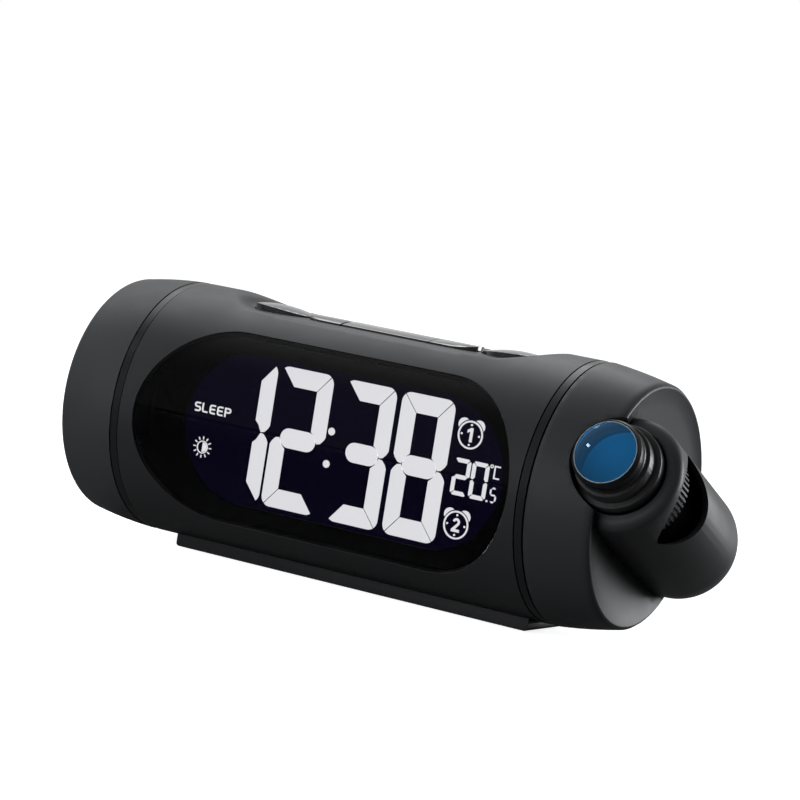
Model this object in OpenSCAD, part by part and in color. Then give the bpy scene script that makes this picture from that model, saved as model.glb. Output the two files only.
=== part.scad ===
// Projection alarm clock: a horizontal barrel on a narrow foot, with a lit display
// behind a curved window, five keys on a flat deck, and a projector end that turns.
// +X points to the projector end, -Y to the display, +Z up. The origin is on the
// table plane, under the middle of the barrel.

/* [Barrel] */
// Outer radius of the barrel at the trim rings
barrel_r = 40; // [39:0.5:43]
// Length of the body between the two trim rings
body_len = 140; // [139:1:156]
// Wall of the housing shells
shell_wall = 2.2; // [1.8:0.1:2.5]
// Distance of the rear parting plane behind the barrel's axis
parting_y = 20; // [19.5:0.5:22]

/* [Deck] */
// Depth of the flat deck below the top of the barrel
deck_drop = 4.5; // [4:0.1:5]
// Distance between the centres of the deck's two round ends
deck_end_span = 66; // [64:1:76]
// Horizontal run of the deck's end slopes for each millimetre of rise
deck_slope = 1; // [0.6:0.1:1.2]

/* [Trim rings] */
// Width of each gloss trim ring
ring_w = 3.1; // [2.6:0.1:4]
// Width of the shadow groove at each side of a ring
ring_groove = 0.35; // [0.2:0.05:0.6]
// Depth of the shadow groove
ring_groove_depth = 1.4; // [0.8:0.1:1.8]
// Radial thickness of a trim ring
ring_t = 3.5; // [3.2:0.1:4.5]

/* [Foot] */
// Length of the foot plate
foot_len = 126.6; // [116:1:132]
// Depth of the foot plate, front to back
foot_depth = 22; // [20:1:30]
// Distance of the foot's underside below the barrel
foot_drop = 2.8; // [2.6:0.1:5]
// Offset of the foot's middle along the barrel
foot_shift = 2.6; // [0:0.2:4]
// Radius of the foot's rounded lower corners
foot_corner = 1; // [0.4:0.1:1.4]
// Height of the rubber strip below the foot plate
strip_proud = 0.3; // [0.2:0.1:0.5]
// Thickness of the rubber strip
strip_t = 0.8; // [0.6:0.1:0.9]
// Length of the rubber strip
strip_len = 116; // [90:1:118]
// Width of the rubber strip
strip_w = 15; // [10:0.5:16]

/* [Window] */
// Length of the display window
window_len = 132; // [126:1:134]
// Height of the display window, seen from the front
window_h = 59; // [57:0.5:60]
// Offset of the window's middle along the barrel
window_x = 1; // [0:0.1:1.2]
// Thickness of the window
window_t = 1.6; // [1.2:0.1:1.9]
// Depth of the window's face below the barrel's surface
window_inset = 0.3; // [0.1:0.05:0.5]
// Gap between the window's edge and its opening
window_gap = 0.15; // [0.1:0.05:0.3]

/* [Display] */
// Distance of the panel's face in front of the barrel's axis
display_y = 24.2; // [23:0.1:24.6]
// Offset of the display's middle along the barrel
display_x = 1.5; // [0:0.1:2]
// Length of the lit area
lit_len = 113; // [108:1:114]
// Height of the lit area
lit_h = 45.6; // [44:0.2:46.4]
// Length of the display panel
panel_len = 117; // [116:0.5:118]
// Height of the display panel
panel_h = 48.4; // [47.6:0.2:49]
// Thickness of the display panel
panel_t = 2.4; // [1.8:0.1:3]
// Thickness of the black bezel plate
bezel_t = 1.8; // [1.2:0.1:2]
// Thickness of the light guide
guide_t = 3; // [2:0.1:3.6]
// Wall of the display frame
frame_wall = 2; // [1.4:0.1:2.2]

/* [Digits] */
// Height of a large digit
digit_h = 42.8; // [38:0.2:43]
// Width of a large digit
digit_w = 18.3; // [16:0.1:18.8]
// Width of an upright stroke
stroke_w = 5.3; // [4:0.1:6]
// Height of a level stroke
stroke_h = 5.7; // [4.4:0.1:6.2]
// Height of a middle stroke
middle_h = 6.1; // [4.8:0.1:7]
// Outer corner radius of a digit
digit_corner = 3.3; // [2:0.1:4]
// Thickness of the digits' segments
segment_t = 0.2; // [0.1:0.05:0.4]
// Right edge of the digits 1, 2, 3 and 8, from the display's middle
digit_right_1 = -26.4; // [-27.5:0.1:-26.2]
// Right edge of the second digit
digit_right_2 = -6.2; // [-6.4:0.1:-5.6]
// Right edge of the third digit
digit_right_3 = 16.2; // [15.8:0.1:16.8]
// Right edge of the fourth digit
digit_right_4 = 36.3; // [35.9:0.1:37]

/* [Keys] */
// Length of the three keys of the middle bar together
bar_len = 60; // [58:0.5:60.4]
// Depth of the bar and of the oval keys, front to back
key_depth = 15; // [13:0.5:15.6]
// Length of the long middle key
snooze_len = 31.5; // [27:0.5:34]
// Length of an oval key
oval_len = 19.6; // [17:0.2:19.8]
// Distance of an oval key's middle from the body's middle
oval_x = 41; // [40.8:0.1:41.4]
// Height of the bar's keys above the deck
key_proud = 1.5; // [1:0.05:1.8]
// Radius of the bar keys' rounded tops, front to back
bar_crown_r = 30; // [24:1:90]
// Height of the highest point of an oval key above the deck
oval_proud = 2.5; // [1.9:0.1:3.2]
// Radius of the crowned top of an oval key
oval_crown_r = 38; // [32:1:90]
// Distance of that highest point outwards from the oval key's middle
oval_crown_x = 2.6; // [0:0.1:3]
// Gap between a key and the edge of its hole
key_gap = 0.3; // [0.2:0.05:0.4]
// Travel of a key
key_travel = 0.8; // [0.5:0.05:0.8]
// Thickness of a key's flange
key_flange_t = 1.2; // [0.9:0.1:1.4]
// Width of a key's flange beside its hole
key_flange_w = 1; // [0.8:0.1:1.2]
// Radius of a key's stem
key_stem_r = 1.6; // [1.2:0.1:2]

/* [End caps] */
// Length of the left end cap, from its trim ring to its rim
left_cap_len = 18.4; // [17:0.2:24]
// Radius of the left end cap's rim
left_rim_r = 38; // [37:0.1:38.6]
// Radius of the rounded edge of the left end cap
left_edge_r = 2.4; // [1.6:0.1:3]
// Length of the projector cap, from its trim ring to its rim
right_cap_len = 19.9; // [19.6:0.1:22]
// Radius of the projector cap's rim
right_rim_r = 36.7; // [36.3:0.1:37.6]
// Depth of the dish in the projector cap
dish_depth = 4; // [3:0.1:5]
// Gap between the turning cap and its trim ring
cap_gap = 0.3; // [0.3:0.05:0.5]
// Wall of the end caps
cap_wall = 2.2; // [1.8:0.1:2.6]

/* [Speaker] */
// Radius of the speaker's flange
speaker_r = 27.5; // [25:0.5:28]
// Depth of the speaker's basket
speaker_depth = 12; // [9:0.5:14]
// Radius of the speaker's magnet
magnet_r = 14; // [11:0.5:16]
// Length of the speaker's magnet
magnet_len = 9; // [6:0.5:11]
// Width of one slot of the speaker's grille
grille_slot = 2; // [1.4:0.1:2.4]

/* [Swivel] */
// Radius of the swivel hub
hub_r = 10; // [9:0.1:11]
// Radius of the cable way through the hub
hub_bore_r = 7; // [5.5:0.1:7.4]
// Radial running clearance of the hub in its bush
hub_fit = 0.05; // [0.02:0.01:0.09]
// Wall of the swivel bush
bush_wall = 2.4; // [1.8:0.1:3]
// Thickness of the bearing plate and of the left bulkhead
plate_t = 3.8; // [3.4:0.1:4.2]
// Thickness of the swivel plate
swivel_plate_t = 2; // [1.9:0.1:2.4]
// Height of the spring washer
washer_h = 2.6; // [2:0.1:3]
// Thickness of the retaining clip
clip_t = 1.2; // [1:0.1:1.6]

/* [Projector head] */
// Distance of the head's axis from the body's middle
head_x = 94.7; // [94.2:0.1:95.6]
// Outer radius of the head
head_r = 17.8; // [17.6:0.1:18.4]
// Wall of the head
head_wall = 1.6; // [1.4:0.1:1.8]
// Tilt of the beam above the horizontal
beam_tilt = 24.5; // [15:0.5:35]
// Distance of the head's rear dome centre behind the barrel's axis
dome_back = 24; // [22:0.1:24.4]
// Distance of the head's front face ahead of the barrel's axis
head_front = 28; // [27.6:0.1:28.6]
// Radius of the head's front edge
head_edge_r = 3; // [2:0.1:3.4]
// Length of the focus slot along the beam
slot_len = 22.6; // [20:0.2:23]
// Height of the focus slot across the beam
slot_h = 28; // [25:0.5:29]
// Distance of the focus slot's middle ahead of the barrel's axis
slot_mid = 12.8; // [12.4:0.1:13]

/* [Focus] */
// Outer radius of the focus wheel
wheel_r = 15.85; // [15.6:0.05:15.9]
// Depth of the grooves between the focus wheel's ribs
rib_depth = 0.7; // [0.4:0.05:0.9]
// Number of ribs on the focus wheel
rib_count = 60; // [40:2:72]
// Width of the focus wheel
wheel_w = 8; // [6:0.1:8.2]
// Distance of the focus wheel's front ahead of the barrel's axis
wheel_front = 22.5; // [22.3:0.1:22.6]
// Radius of the lens barrel's sleeve
sleeve_r = 12.6; // [12.2:0.05:12.7]
// Radius of the lens barrel's rear step
step_rear_r = 13.2; // [12.9:0.05:13.3]
// Radius of the lens barrel's front step
step_front_r = 11.5; // [11.2:0.05:11.8]
// Radius of the lens bezel
bezel_r = 10.5; // [10.4:0.05:11.1]
// Radius of the front lens
lens_r = 9.5; // [8.8:0.05:9.6]
// Gap between the sliding lens barrel and the pieces around it
focus_gap = 0.4; // [0.3:0.05:0.5]

/* [Rear panel] */
// Length of the recessed rear panel
rear_len = 100; // [92:1:104]
// Height of the recessed rear panel
rear_h = 26; // [25.4:0.1:27]
// Distance of the rear panel's floor behind the barrel's axis
rear_floor_y = 34; // [33:0.1:34.4]
// Distance of the rear panel's middle below the barrel's axis
rear_low = 2; // [0:0.2:3]
// Distance of the power jack from the body's middle
jack_x = -38; // [-40:0.5:-34]
// Radius of the power jack's socket
jack_bore_r = 2.8; // [2.7:0.05:3.2]
// Distance of the aerial gland from the body's middle
gland_x = -19; // [-22:0.5:-14]
// Distance of the backup cell's middle from the body's middle
cell_x = 26; // [24:0.5:30]
// Radius of the backup cell
cell_r = 10; // [8:0.5:10]
// Thickness of the backup cell
cell_t = 3.2; // [2:0.1:3.2]
// Travel of the battery door
door_travel = 14; // [8:0.5:15]

/* [Hidden] */
$fn = 72;

// Lengths from the body's middle, and distances from the barrel's axis, are given
// above for this body and these digits. What they place keeps its distance from the
// trim rings, from the wall and from the digits when those change.
given_body_len = 140;
given_barrel_r = 40;
given_digit_h = 42.8;
longer = (body_len - given_body_len) / 2;
wider = barrel_r - given_barrel_r;
taller = digit_h - given_digit_h;

deck_span = deck_end_span + 2 * longer;
foot_l = foot_len + 2 * longer;
strip_l = strip_len + 2 * longer;
window_l = window_len + 2 * longer;
window_high = window_h + 1.5 * wider;
display_at = display_y + wider;
lit_l = lit_len + 2 * longer;
lit_high = lit_h + taller;
panel_l = panel_len + 2 * longer;
panel_high = panel_h + taller;
bar_l = bar_len + 2 * longer;
snooze_l = snooze_len + longer;
oval_at = oval_x + longer;
left_rim = left_rim_r + wider;
right_rim = right_rim_r + wider;
speaker_rim = speaker_r + wider;
head_at = head_x + longer;
dome_at = dome_back + wider;
head_face = head_front + wider;
slot_at = slot_mid + wider;
wheel_face = wheel_front + wider;
rear_l = rear_len + 2 * longer;
rear_floor = rear_floor_y + wider;
jack_at = jack_x - longer;
gland_at = gland_x - longer;
cell_at = cell_x + longer;
parting_at = parting_y + wider / 2;

eps = 0.01;
half_body = body_len / 2;
axis_h = barrel_r + foot_drop;
inner_r = barrel_r - shell_wall;
deck_z = axis_h + barrel_r - deck_drop;
ceiling_z = deck_z - shell_wall;
deck_r = sqrt(pow(barrel_r, 2) - pow(barrel_r - deck_drop, 2));
pcb_t = 1.6;
seat_gap = 0.1;

// Screws: shank radius, head radius, head thickness, clearance and pilot hole
screw_r = 1.2;
screw_head_r = 2.4;
screw_head_t = 1.4;
screw_clear_r = 1.5;
screw_pilot_r = 1.25;
boss_r = 3;

// Stack of the display, front to back
bezel_front_y = -display_at - bezel_t;
bezel_h = 2 * (sqrt(pow(inner_r, 2) - pow(bezel_front_y, 2)) - 0.35);
panel_back_y = -display_at + panel_t;
guide_back_y = panel_back_y + guide_t;
display_board_back_y = guide_back_y + pcb_t;
frame_back_y = display_board_back_y + 2;
spacer_len = 9;
main_board_y = display_board_back_y + spacer_len;
spacer_dx = 42 + longer;
spacer_dz = 15;
main_board_h = 36;

// Keys and their switches
key_top = deck_z + key_proud;
oval_top = deck_z + oval_proud;
flange_z = ceiling_z - key_flange_t;
switch_play = 0.12;
stem_len = 1;
stem_z = flange_z - stem_len;
plunger_top = stem_z - key_travel - switch_play;
plunger_h = 1;
plunger_r = 1.7;
switch_h = 3.6;
switch_w = 6;
button_board_top = plunger_top - plunger_h - switch_h;
button_board_len = 108 + 2 * longer;
button_board_w = 29;
board_post_x = 22;
board_post_y = key_depth / 2 + key_flange_w + boss_r;
snooze_half = snooze_l / 2;
side_key_x = (snooze_half + bar_l / 2) / 2;
bar_split = 0.4;

// Ends of the barrel
ring_inner_r = barrel_r - ring_t;
plate_r = ring_inner_r - 0.2;
plate_out_x = half_body + ring_w - cap_gap;
plate_in_x = plate_out_x - plate_t;
cap_start = half_body + ring_w + cap_gap;
left_face = half_body + ring_w + left_cap_len + left_edge_r;
right_rim_x = half_body + ring_w + right_cap_len;
top_screw_z = 33 + wider;
rear_screw_y = 16 + wider / 2;
rear_screw_z = 28 + 0.87 * wider;
plate_screws = [[0, top_screw_z], [0, -top_screw_z], [rear_screw_y, rear_screw_z], [rear_screw_y, -rear_screw_z]];
cap_boss_y = 30 + wider;
cap_boss_z = 11;
cap_bosses = [[-cap_boss_y, cap_boss_z], [-cap_boss_y, -cap_boss_z], [cap_boss_y + 1, 0]];
shell_boss_len = 9;
board_half = 52 + longer;
main_board_len = 2 * min(board_half, plate_out_x - speaker_depth - magnet_len - 1);

// Swivel
bush_r = hub_r + hub_fit + bush_wall;
bush_flange_t = 2.4;
bush_flange_r = bush_r + 3;
bush_in_x = plate_in_x - bush_flange_t;
washer_in_x = bush_in_x - washer_h;
clip_in_x = washer_in_x - clip_t;
clip_groove = 0.75;
clip_r = hub_r + 3;
hub_end_x = clip_in_x - 2;
swivel_in_x = cap_start + cap_gap;
swivel_out_x = swivel_in_x + swivel_plate_t;
swivel_r = ring_inner_r - 0.1;
cap_screw_s = 14;
cap_screw_w = 25 + wider;

// Projector head, measured along the beam from the barrel's axis
head_in_r = head_r - head_wall;
saddle_half = 7;
head_floor = -sqrt(pow(head_in_r, 2) - pow(saddle_half + 0.5, 2));
front_hole_r = step_rear_r + focus_gap;
wheel_back = wheel_face - wheel_w;
wheel_bore_r = sleeve_r + focus_gap;
optics_r = 10.6;
optics_bore_r = 9.2;
optics_back = -14;
optics_front = wheel_face - 0.5;
sleeve_bore_r = optics_r + focus_gap;
sleeve_back = wheel_back + 1;
step_rear_front = head_face + 4;
step_front_front = step_rear_front + 4.5;
bezel_back = step_front_front + 1.7;
bezel_front = bezel_back + 4;
barrel_bore_r = lens_r + seat_gap;
notch_reach = 12;
notch_half = 14.5;
notch_r = (pow(right_rim_x - head_at + notch_reach, 2) + pow(notch_half, 2))
  / (2 * (right_rim_x - head_at + notch_reach));
head_screw_s = -19 - wider;
head_screw_w = 8;

// Rear panel
rear_mid_z = axis_h - rear_low;
jack_nose_r = 5;
jack_nose = 0.6;
jack_body_w = 11;
jack_body_len = 11.3;
jack_pin_r = 1;
jack_depth = 9.5;
cell_gap = 0.4;
cell_opening = 2 * cell_r + 2;
door_lap = 2;
door_w = cell_opening + 2 * door_lap;
door_t = 1.6;
door_gap = 0.25;
door_h = rear_h - 1.4;
rail_t = 0.9;
rail_reach = 1.2;
cover_boss_x = 52 + longer;
cover_boss_z = 30 + wider;
cover_seat_y = parting_at + 2.6;
cover_boss_len = 12;

// ---------------------------------------------------------------- helpers

// Puts a turned piece on the barrel's axis: its own Z runs along +X
module on_axis() translate([0, 0, axis_h]) rotate([0, 90, 0]) children();

// Puts a piece on the beam: own Z along the beam, own X outboard
module on_beam() translate([head_at, 0, axis_h]) rotate([90 - beam_tilt, 0, 0]) children();

// Extrudes a front view, drawn as X and Z, from y0 to y1
module front_view(y0, y1)
  translate([0, y1, axis_h]) rotate([90, 0, 0]) linear_extrude(y1 - y0) children();

// Flat ring along Z
module tube(r, bore, z0, z1) difference() {
  translate([0, 0, z0]) cylinder(r = r, h = z1 - z0);
  translate([0, 0, z0 - 1]) cylinder(r = bore, h = z1 - z0 + 2);
}

// Slot outline with round ends
module stadium(len, h) union() {
  square([len - h, h], center = true);
  for (side = [-1, 1]) translate([side * (len - h) / 2, 0]) circle(d = h, $fn = 96);
}

// Cylinder along X between two places, at y and at z above the axis
module x_rod(r, x0, x1, y, z)
  translate([x0, y, axis_h + z]) rotate([0, 90, 0]) cylinder(r = r, h = x1 - x0, $fn = 32);

// Cylinder along Y between two places
module y_rod(r, y0, y1, x, z)
  translate([x, y1, z]) rotate([90, 0, 0]) cylinder(r = r, h = y1 - y0, $fn = 32);

// Screw along +Z, with its head under z = 0 and its point at len
module screw(len, head_t = screw_head_t) union() {
  translate([0, 0, -head_t]) cylinder(r = screw_head_r, h = head_t, $fn = 32);
  translate([0, 0, -eps]) cylinder(r = screw_r, h = len + eps, $fn = 32);
}

// ---------------------------------------------------------------- housing

// Space above the deck, grown by the housing's wall for the inner side
module deck_space(grow) {
  floor_z = deck_z - grow;
  rise = barrel_r + foot_drop + barrel_r + 4 - floor_z;
  end_r = deck_r + 0.12 + grow * (sqrt(1 + pow(deck_slope, 2)) - deck_slope);
  translate([-deck_span / 2, -barrel_r, floor_z]) cube([deck_span, 2 * barrel_r, rise]);
  for (side = [-1, 1]) translate([side * deck_span / 2, 0, floor_z])
    cylinder(r1 = end_r, r2 = end_r + rise * deck_slope, h = rise);
}

module body_tube() difference() {
  on_axis() translate([0, 0, -half_body]) cylinder(r = barrel_r, h = body_len);
  deck_space(0);
  difference() {
    on_axis() translate([0, 0, -half_body - 1]) cylinder(r = inner_r, h = body_len + 2);
    deck_space(shell_wall);
  }
}

module bar_outline(grow) stadium(bar_l + 2 * grow, key_depth + 2 * grow);

module oval_outline(grow) polygon([for (a = [0:7.5:352.5])
  [(oval_len / 2 + grow) * cos(a), (key_depth / 2 + grow) * sin(a)]]);

module key_holes() translate([0, 0, ceiling_z - 1]) linear_extrude(deck_drop + shell_wall + 2) {
  bar_outline(key_gap);
  for (side = [-1, 1]) translate([side * oval_at, 0]) oval_outline(key_gap);
}

module front_shell() color("#3a3b3d") difference() {
  union() {
    intersection() {
      body_tube();
      translate([-body_len, parting_at - 2 * barrel_r, 0]) cube([2 * body_len, 2 * barrel_r, 3 * barrel_r]);
    }
    // Bosses for the screws of the bearing plate and the left bulkhead
    for (side = [-1, 1]) intersection() {
      union() for (p = plate_screws)
        x_rod(boss_r, min(side * (half_body - shell_boss_len), side * (plate_in_x)),
          max(side * (half_body - shell_boss_len), side * (plate_in_x)), p[0], p[1]);
      on_axis() translate([0, 0, -body_len]) cylinder(r = barrel_r - 1, h = 2 * body_len);
    }
    // Webs that tie those bosses to the wall
    for (side = [-1, 1]) for (p = plate_screws) intersection() {
      translate([side * (half_body - shell_boss_len + plate_in_x) / 2, p[0], axis_h + p[1] * 1.1])
        cube([plate_in_x - half_body + shell_boss_len, 2, 9], center = true);
      on_axis() translate([0, 0, -body_len]) cylinder(r = barrel_r - 1, h = 2 * body_len);
    }
    // Bosses for the rear cover's screws
    for (x = [-1, 1]) for (z = [-1, 1]) intersection() {
      y_rod(boss_r, parting_at - cover_boss_len, parting_at, x * cover_boss_x, axis_h + z * cover_boss_z);
      on_axis() translate([0, 0, -body_len]) cylinder(r = barrel_r - 1, h = 2 * body_len);
    }
    for (x = [-1, 1]) for (z = [-1, 1]) intersection() {
      translate([x * cover_boss_x, parting_at - 5, axis_h + z * (cover_boss_z + 2.5)])
        cube([2, 10, 5], center = true);
      on_axis() translate([0, 0, -body_len]) cylinder(r = barrel_r - 1, h = 2 * body_len);
    }
    // Posts for the button board
    for (x = [-1, 1]) for (y = [-1, 1]) translate([x * board_post_x, y * board_post_y, button_board_top])
      cylinder(r = boss_r - 0.6, h = ceiling_z - button_board_top + 1, $fn = 32);
    // Bosses for the foot's screws
    for (x = [-1, 1]) translate([foot_shift + x * foot_l * 0.32, 0, foot_drop + 1])
      cylinder(r = boss_r, h = 9, $fn = 32);
  }
  front_view(-barrel_r - 5, 0) translate([window_x, 0]) stadium(window_l, window_high);
  key_holes();
  for (side = [-1, 1]) for (p = plate_screws)
    x_rod(screw_pilot_r, min(side * (half_body - shell_boss_len + 1), side * (half_body + 5)),
      max(side * (half_body - shell_boss_len + 1), side * (half_body + 5)), p[0], p[1]);
  for (x = [-1, 1]) for (z = [-1, 1])
    y_rod(screw_pilot_r, parting_at - cover_boss_len + 1, parting_at + 1, x * cover_boss_x, axis_h + z * cover_boss_z);
  for (x = [-1, 1]) for (y = [-1, 1]) translate([x * board_post_x, y * board_post_y, button_board_top - 1])
    cylinder(r = screw_pilot_r, h = 6, $fn = 32);
  for (x = [-1, 1]) translate([foot_shift + x * foot_l * 0.32, 0, 0])
    cylinder(r = screw_pilot_r, h = foot_drop + 8, $fn = 32);
}

// Box of the recessed rear panel, grown by the wall for the inner side
module rear_space(grow) translate([-rear_l / 2 - grow, rear_floor - grow, rear_mid_z - rear_h / 2 - grow])
  cube([rear_l + 2 * grow, barrel_r, rear_h + 2 * grow]);

module rear_cover() color("#343537") difference() {
  union() {
    intersection() {
      difference() {
        on_axis() translate([0, 0, -half_body]) cylinder(r = barrel_r, h = body_len);
        difference() {
          on_axis() translate([0, 0, -half_body - 1]) cylinder(r = inner_r, h = body_len + 2);
          rear_space(shell_wall);
        }
        rear_space(0);
      }
      translate([-body_len, parting_at, 0]) cube([2 * body_len, 2 * barrel_r, 3 * barrel_r]);
    }
    // Screw seats
    for (x = [-1, 1]) for (z = [-1, 1]) intersection() {
      y_rod(boss_r + 1, parting_at, barrel_r, x * cover_boss_x, axis_h + z * cover_boss_z);
      on_axis() translate([0, 0, -half_body]) cylinder(r = barrel_r - 0.5, h = body_len);
    }
    // Rails of the battery door
    for (side = [-1, 1]) translate([cell_at - door_w / 2 - door_travel,
      rear_floor + door_t + 2 * door_gap,
      rear_mid_z + side * (rear_h / 2 - rail_reach / 2) - rail_reach / 2 - (side > 0 ? 0 : eps)])
      cube([door_w + door_travel, rail_t, rail_reach + eps]);
  }
  for (x = [-1, 1]) for (z = [-1, 1]) {
    y_rod(screw_clear_r, parting_at - 1, barrel_r, x * cover_boss_x, axis_h + z * cover_boss_z);
    y_rod(screw_head_r + 0.3, cover_seat_y, barrel_r + 1, x * cover_boss_x, axis_h + z * cover_boss_z);
  }
  y_rod(jack_nose_r + seat_gap, rear_floor - 5, rear_floor + 1, jack_at, rear_mid_z);
  y_rod(gland_r + seat_gap, rear_floor - 5, rear_floor + 1, gland_at, rear_mid_z);
  translate([cell_at - cell_opening / 2, rear_floor - 5, rear_mid_z - cell_opening / 2])
    cube([cell_opening, 6, cell_opening]);
}

// ---------------------------------------------------------------- display

module front_window() color("#0b0c12") intersection() {
  on_axis() tube(barrel_r - window_inset, barrel_r - window_inset - window_t, -half_body, half_body);
  front_view(-barrel_r - 5, 0) translate([window_x, 0]) stadium(window_l - 2 * window_gap, window_high - 2 * window_gap);
}

module display_bezel() color("#0a0a0c") front_view(bezel_front_y, -display_at) difference() {
  translate([window_x, 0]) square([min(window_l + 2, 2 * (plate_in_x - window_x - seat_gap)), bezel_h], center = true);
  translate([display_x, 0]) stadium(lit_l, lit_high);
}

// Rounded square, for the corners of the digits and the colon
module round_box(w, h, r) union() {
  square([w - 2 * r, h], center = true);
  square([w, h - 2 * r], center = true);
  for (x = [-1, 1]) for (y = [-1, 1]) translate([x * (w / 2 - r), y * (h / 2 - r)]) circle(r = r, $fn = 24);
}

// Mitre gap between two segments
seg_gap = 0.25;
small_x = display_x + 38.9;
small_w = 5.9;
small_h = 11;
small_t = 1.3;
alarm_sign_r = 3.7;
small_gap = 0.4;
tenth_x = small_x + 2 * (small_w + small_gap) + small_gap;
hole_w = digit_w - 2 * stroke_w;
bevel = stroke_h;

// Frame of a digit: outer rounded box less the inner hole
module digit_ring() difference() {
  round_box(digit_w, digit_h, digit_corner);
  square([hole_w, digit_h - 2 * stroke_h], center = true);
}

// Upper right region in which the top segment lies
module top_zone() polygon([[-digit_w / 2 + 1.2, digit_h / 2 + eps], [digit_w / 2 - 1.2, digit_h / 2 + eps],
  [hole_w / 2 - seg_gap, digit_h / 2 - bevel - eps], [-hole_w / 2 + seg_gap, digit_h / 2 - bevel - eps]]);

module level_segment(side) intersection() {
  digit_ring();
  mirror([0, side > 0 ? 0 : 1]) top_zone();
}

module upright_segment(sx, sy) difference() {
  intersection() {
    digit_ring();
    translate([sx > 0 ? hole_w / 2 : -digit_w / 2, sy > 0 ? seg_gap / 2 : -digit_h / 2])
      square([stroke_w, digit_h / 2 - seg_gap / 2]);
  }
  mirror([0, sy > 0 ? 0 : 1]) translate([0, seg_gap]) polygon([
    [-digit_w / 2 + 1.2 - seg_gap, digit_h / 2 + 1], [digit_w / 2 - 1.2 + seg_gap, digit_h / 2 + 1],
    [hole_w / 2, digit_h / 2 - bevel - seg_gap], [-hole_w / 2, digit_h / 2 - bevel - seg_gap]]);
  stadium(digit_w - 6 + 2 * seg_gap, middle_h + 2 * seg_gap);
}

module middle_segment() stadium(digit_w - 6, middle_h);

// Digit from its lit segments: top, bottom, middle and the four uprights
module digit(right, level, middle, uprights) translate([display_x + right - digit_w / 2, 0]) {
  for (s = level) level_segment(s);
  if (middle) middle_segment();
  for (u = uprights) upright_segment(u[0], u[1]);
}

// Small figure in a box of w by h, its stroke t wide: s lists the lit segments,
// numbered top, upper right, lower right, bottom, lower left, upper left, middle
module small_figure(x, z, w, h, t, s) translate([x, z]) for (i = s) {
  if (i == 0) translate([0, h - t]) square([w, t]);
  if (i == 1) translate([w - t, h / 2 - t / 2]) square([t, h / 2 + t / 2]);
  if (i == 2) translate([w - t, 0]) square([t, h / 2 + t / 2]);
  if (i == 3) square([w, t]);
  if (i == 4) square([t, h / 2 + t / 2]);
  if (i == 5) translate([0, h / 2 - t / 2]) square([t, h / 2 + t / 2]);
  if (i == 6) translate([0, h / 2 - t / 2]) square([w, t]);
}

// Alarm sign: clock face with bells and feet
module alarm_sign(x, z) translate([x, z]) {
  difference() {
    circle(r = alarm_sign_r, $fn = 48);
    circle(r = alarm_sign_r - 0.7, $fn = 48);
  }
  for (a = [45, 135, 225, 315]) rotate(a) translate([alarm_sign_r + 0.9, 0]) circle(r = 0.75, $fn = 24);
}

module display_digits() color("#e8e8e8") front_view(-display_at - segment_t, -display_at) {
  digit(digit_right_1 + 0.1, [], false, [[1, 1], [1, -1]]);
  digit(digit_right_2, [1, -1], true, [[1, 1], [-1, -1]]);
  digit(digit_right_3, [1, -1], true, [[1, 1], [1, -1]]);
  digit(digit_right_4, [1, -1], true, [[1, 1], [1, -1], [-1, 1], [-1, -1]]);
  for (side = [-1, 1]) translate([display_x + digit_right_2 + 1.85, side * 5]) round_box(2.3, 2.3, 0.5);
  // Temperature
  small_figure(small_x, -small_h / 2, small_w, small_h, small_t, [0, 1, 6, 4, 3]);
  small_figure(small_x + small_w + small_gap, -small_h / 2, small_w, small_h, small_t, [0, 1, 2, 3, 4, 5]);
  small_figure(tenth_x, -small_h / 2, 2.4, 4.8, 0.7, [0, 5, 6, 2, 3]);
  translate([tenth_x - 1.1, -small_h / 2]) square([0.7, 0.7]);
  translate([tenth_x - 0.7, small_h / 2 - 0.8]) difference() {
    circle(r = 0.65, $fn = 24);
    circle(r = 0.3, $fn = 24);
  }
  small_figure(tenth_x + 0.2, small_h / 2 - 4, 2.3, 4, 0.6, [0, 3, 4, 5]);
  // Alarm signs, over and under the temperature
  for (z = [12.6, -14.2]) alarm_sign(small_x + 3.8, z);
}

module display_panel() color("#07061a") front_view(-display_at, panel_back_y)
  translate([display_x, 0]) square([panel_l, panel_high], center = true);

module light_guide() color("#dfe6ea") front_view(panel_back_y, guide_back_y)
  translate([display_x, 0]) square([panel_l - 2, panel_high - 2], center = true);

module display_board() color("#1f5c34") front_view(guide_back_y, display_board_back_y) difference() {
  translate([display_x, 0]) square([panel_l, panel_high], center = true);
  for (x = [-1, 1]) for (z = [-1, 1]) translate([x * spacer_dx, z * spacer_dz]) circle(r = screw_pilot_r, $fn = 32);
}

module display_frame() color("#26272a") union() {
  front_view(-display_at, frame_back_y) difference() {
    translate([display_x, 0]) square([panel_l + 2 * frame_wall + 2 * seat_gap,
      panel_high + 2 * frame_wall + 2 * seat_gap], center = true);
    translate([display_x, 0]) square([panel_l + 2 * seat_gap, panel_high + 2 * seat_gap], center = true);
  }
  // Clips behind the display board
  front_view(display_board_back_y, frame_back_y) for (x = [-1, 1]) for (z = [-1, 1])
    translate([display_x + x * 30, z * (panel_high / 2 - 0.6)]) square([10, 2], center = true);
}

// ---------------------------------------------------------------- electronics

module board_spacers() color("#c9ccd0") for (x = [-1, 1]) for (z = [-1, 1]) difference() {
  y_rod(2.6, display_board_back_y, main_board_y, x * spacer_dx, axis_h + z * spacer_dz);
  y_rod(screw_pilot_r, display_board_back_y - 1, main_board_y + 1, x * spacer_dx, axis_h + z * spacer_dz);
}

module main_board() color("#1f5c34") front_view(main_board_y, main_board_y + pcb_t) difference() {
  square([main_board_len, main_board_h], center = true);
  for (x = [-1, 1]) for (z = [-1, 1]) translate([x * spacer_dx, z * spacer_dz]) circle(r = screw_clear_r, $fn = 32);
}

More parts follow.
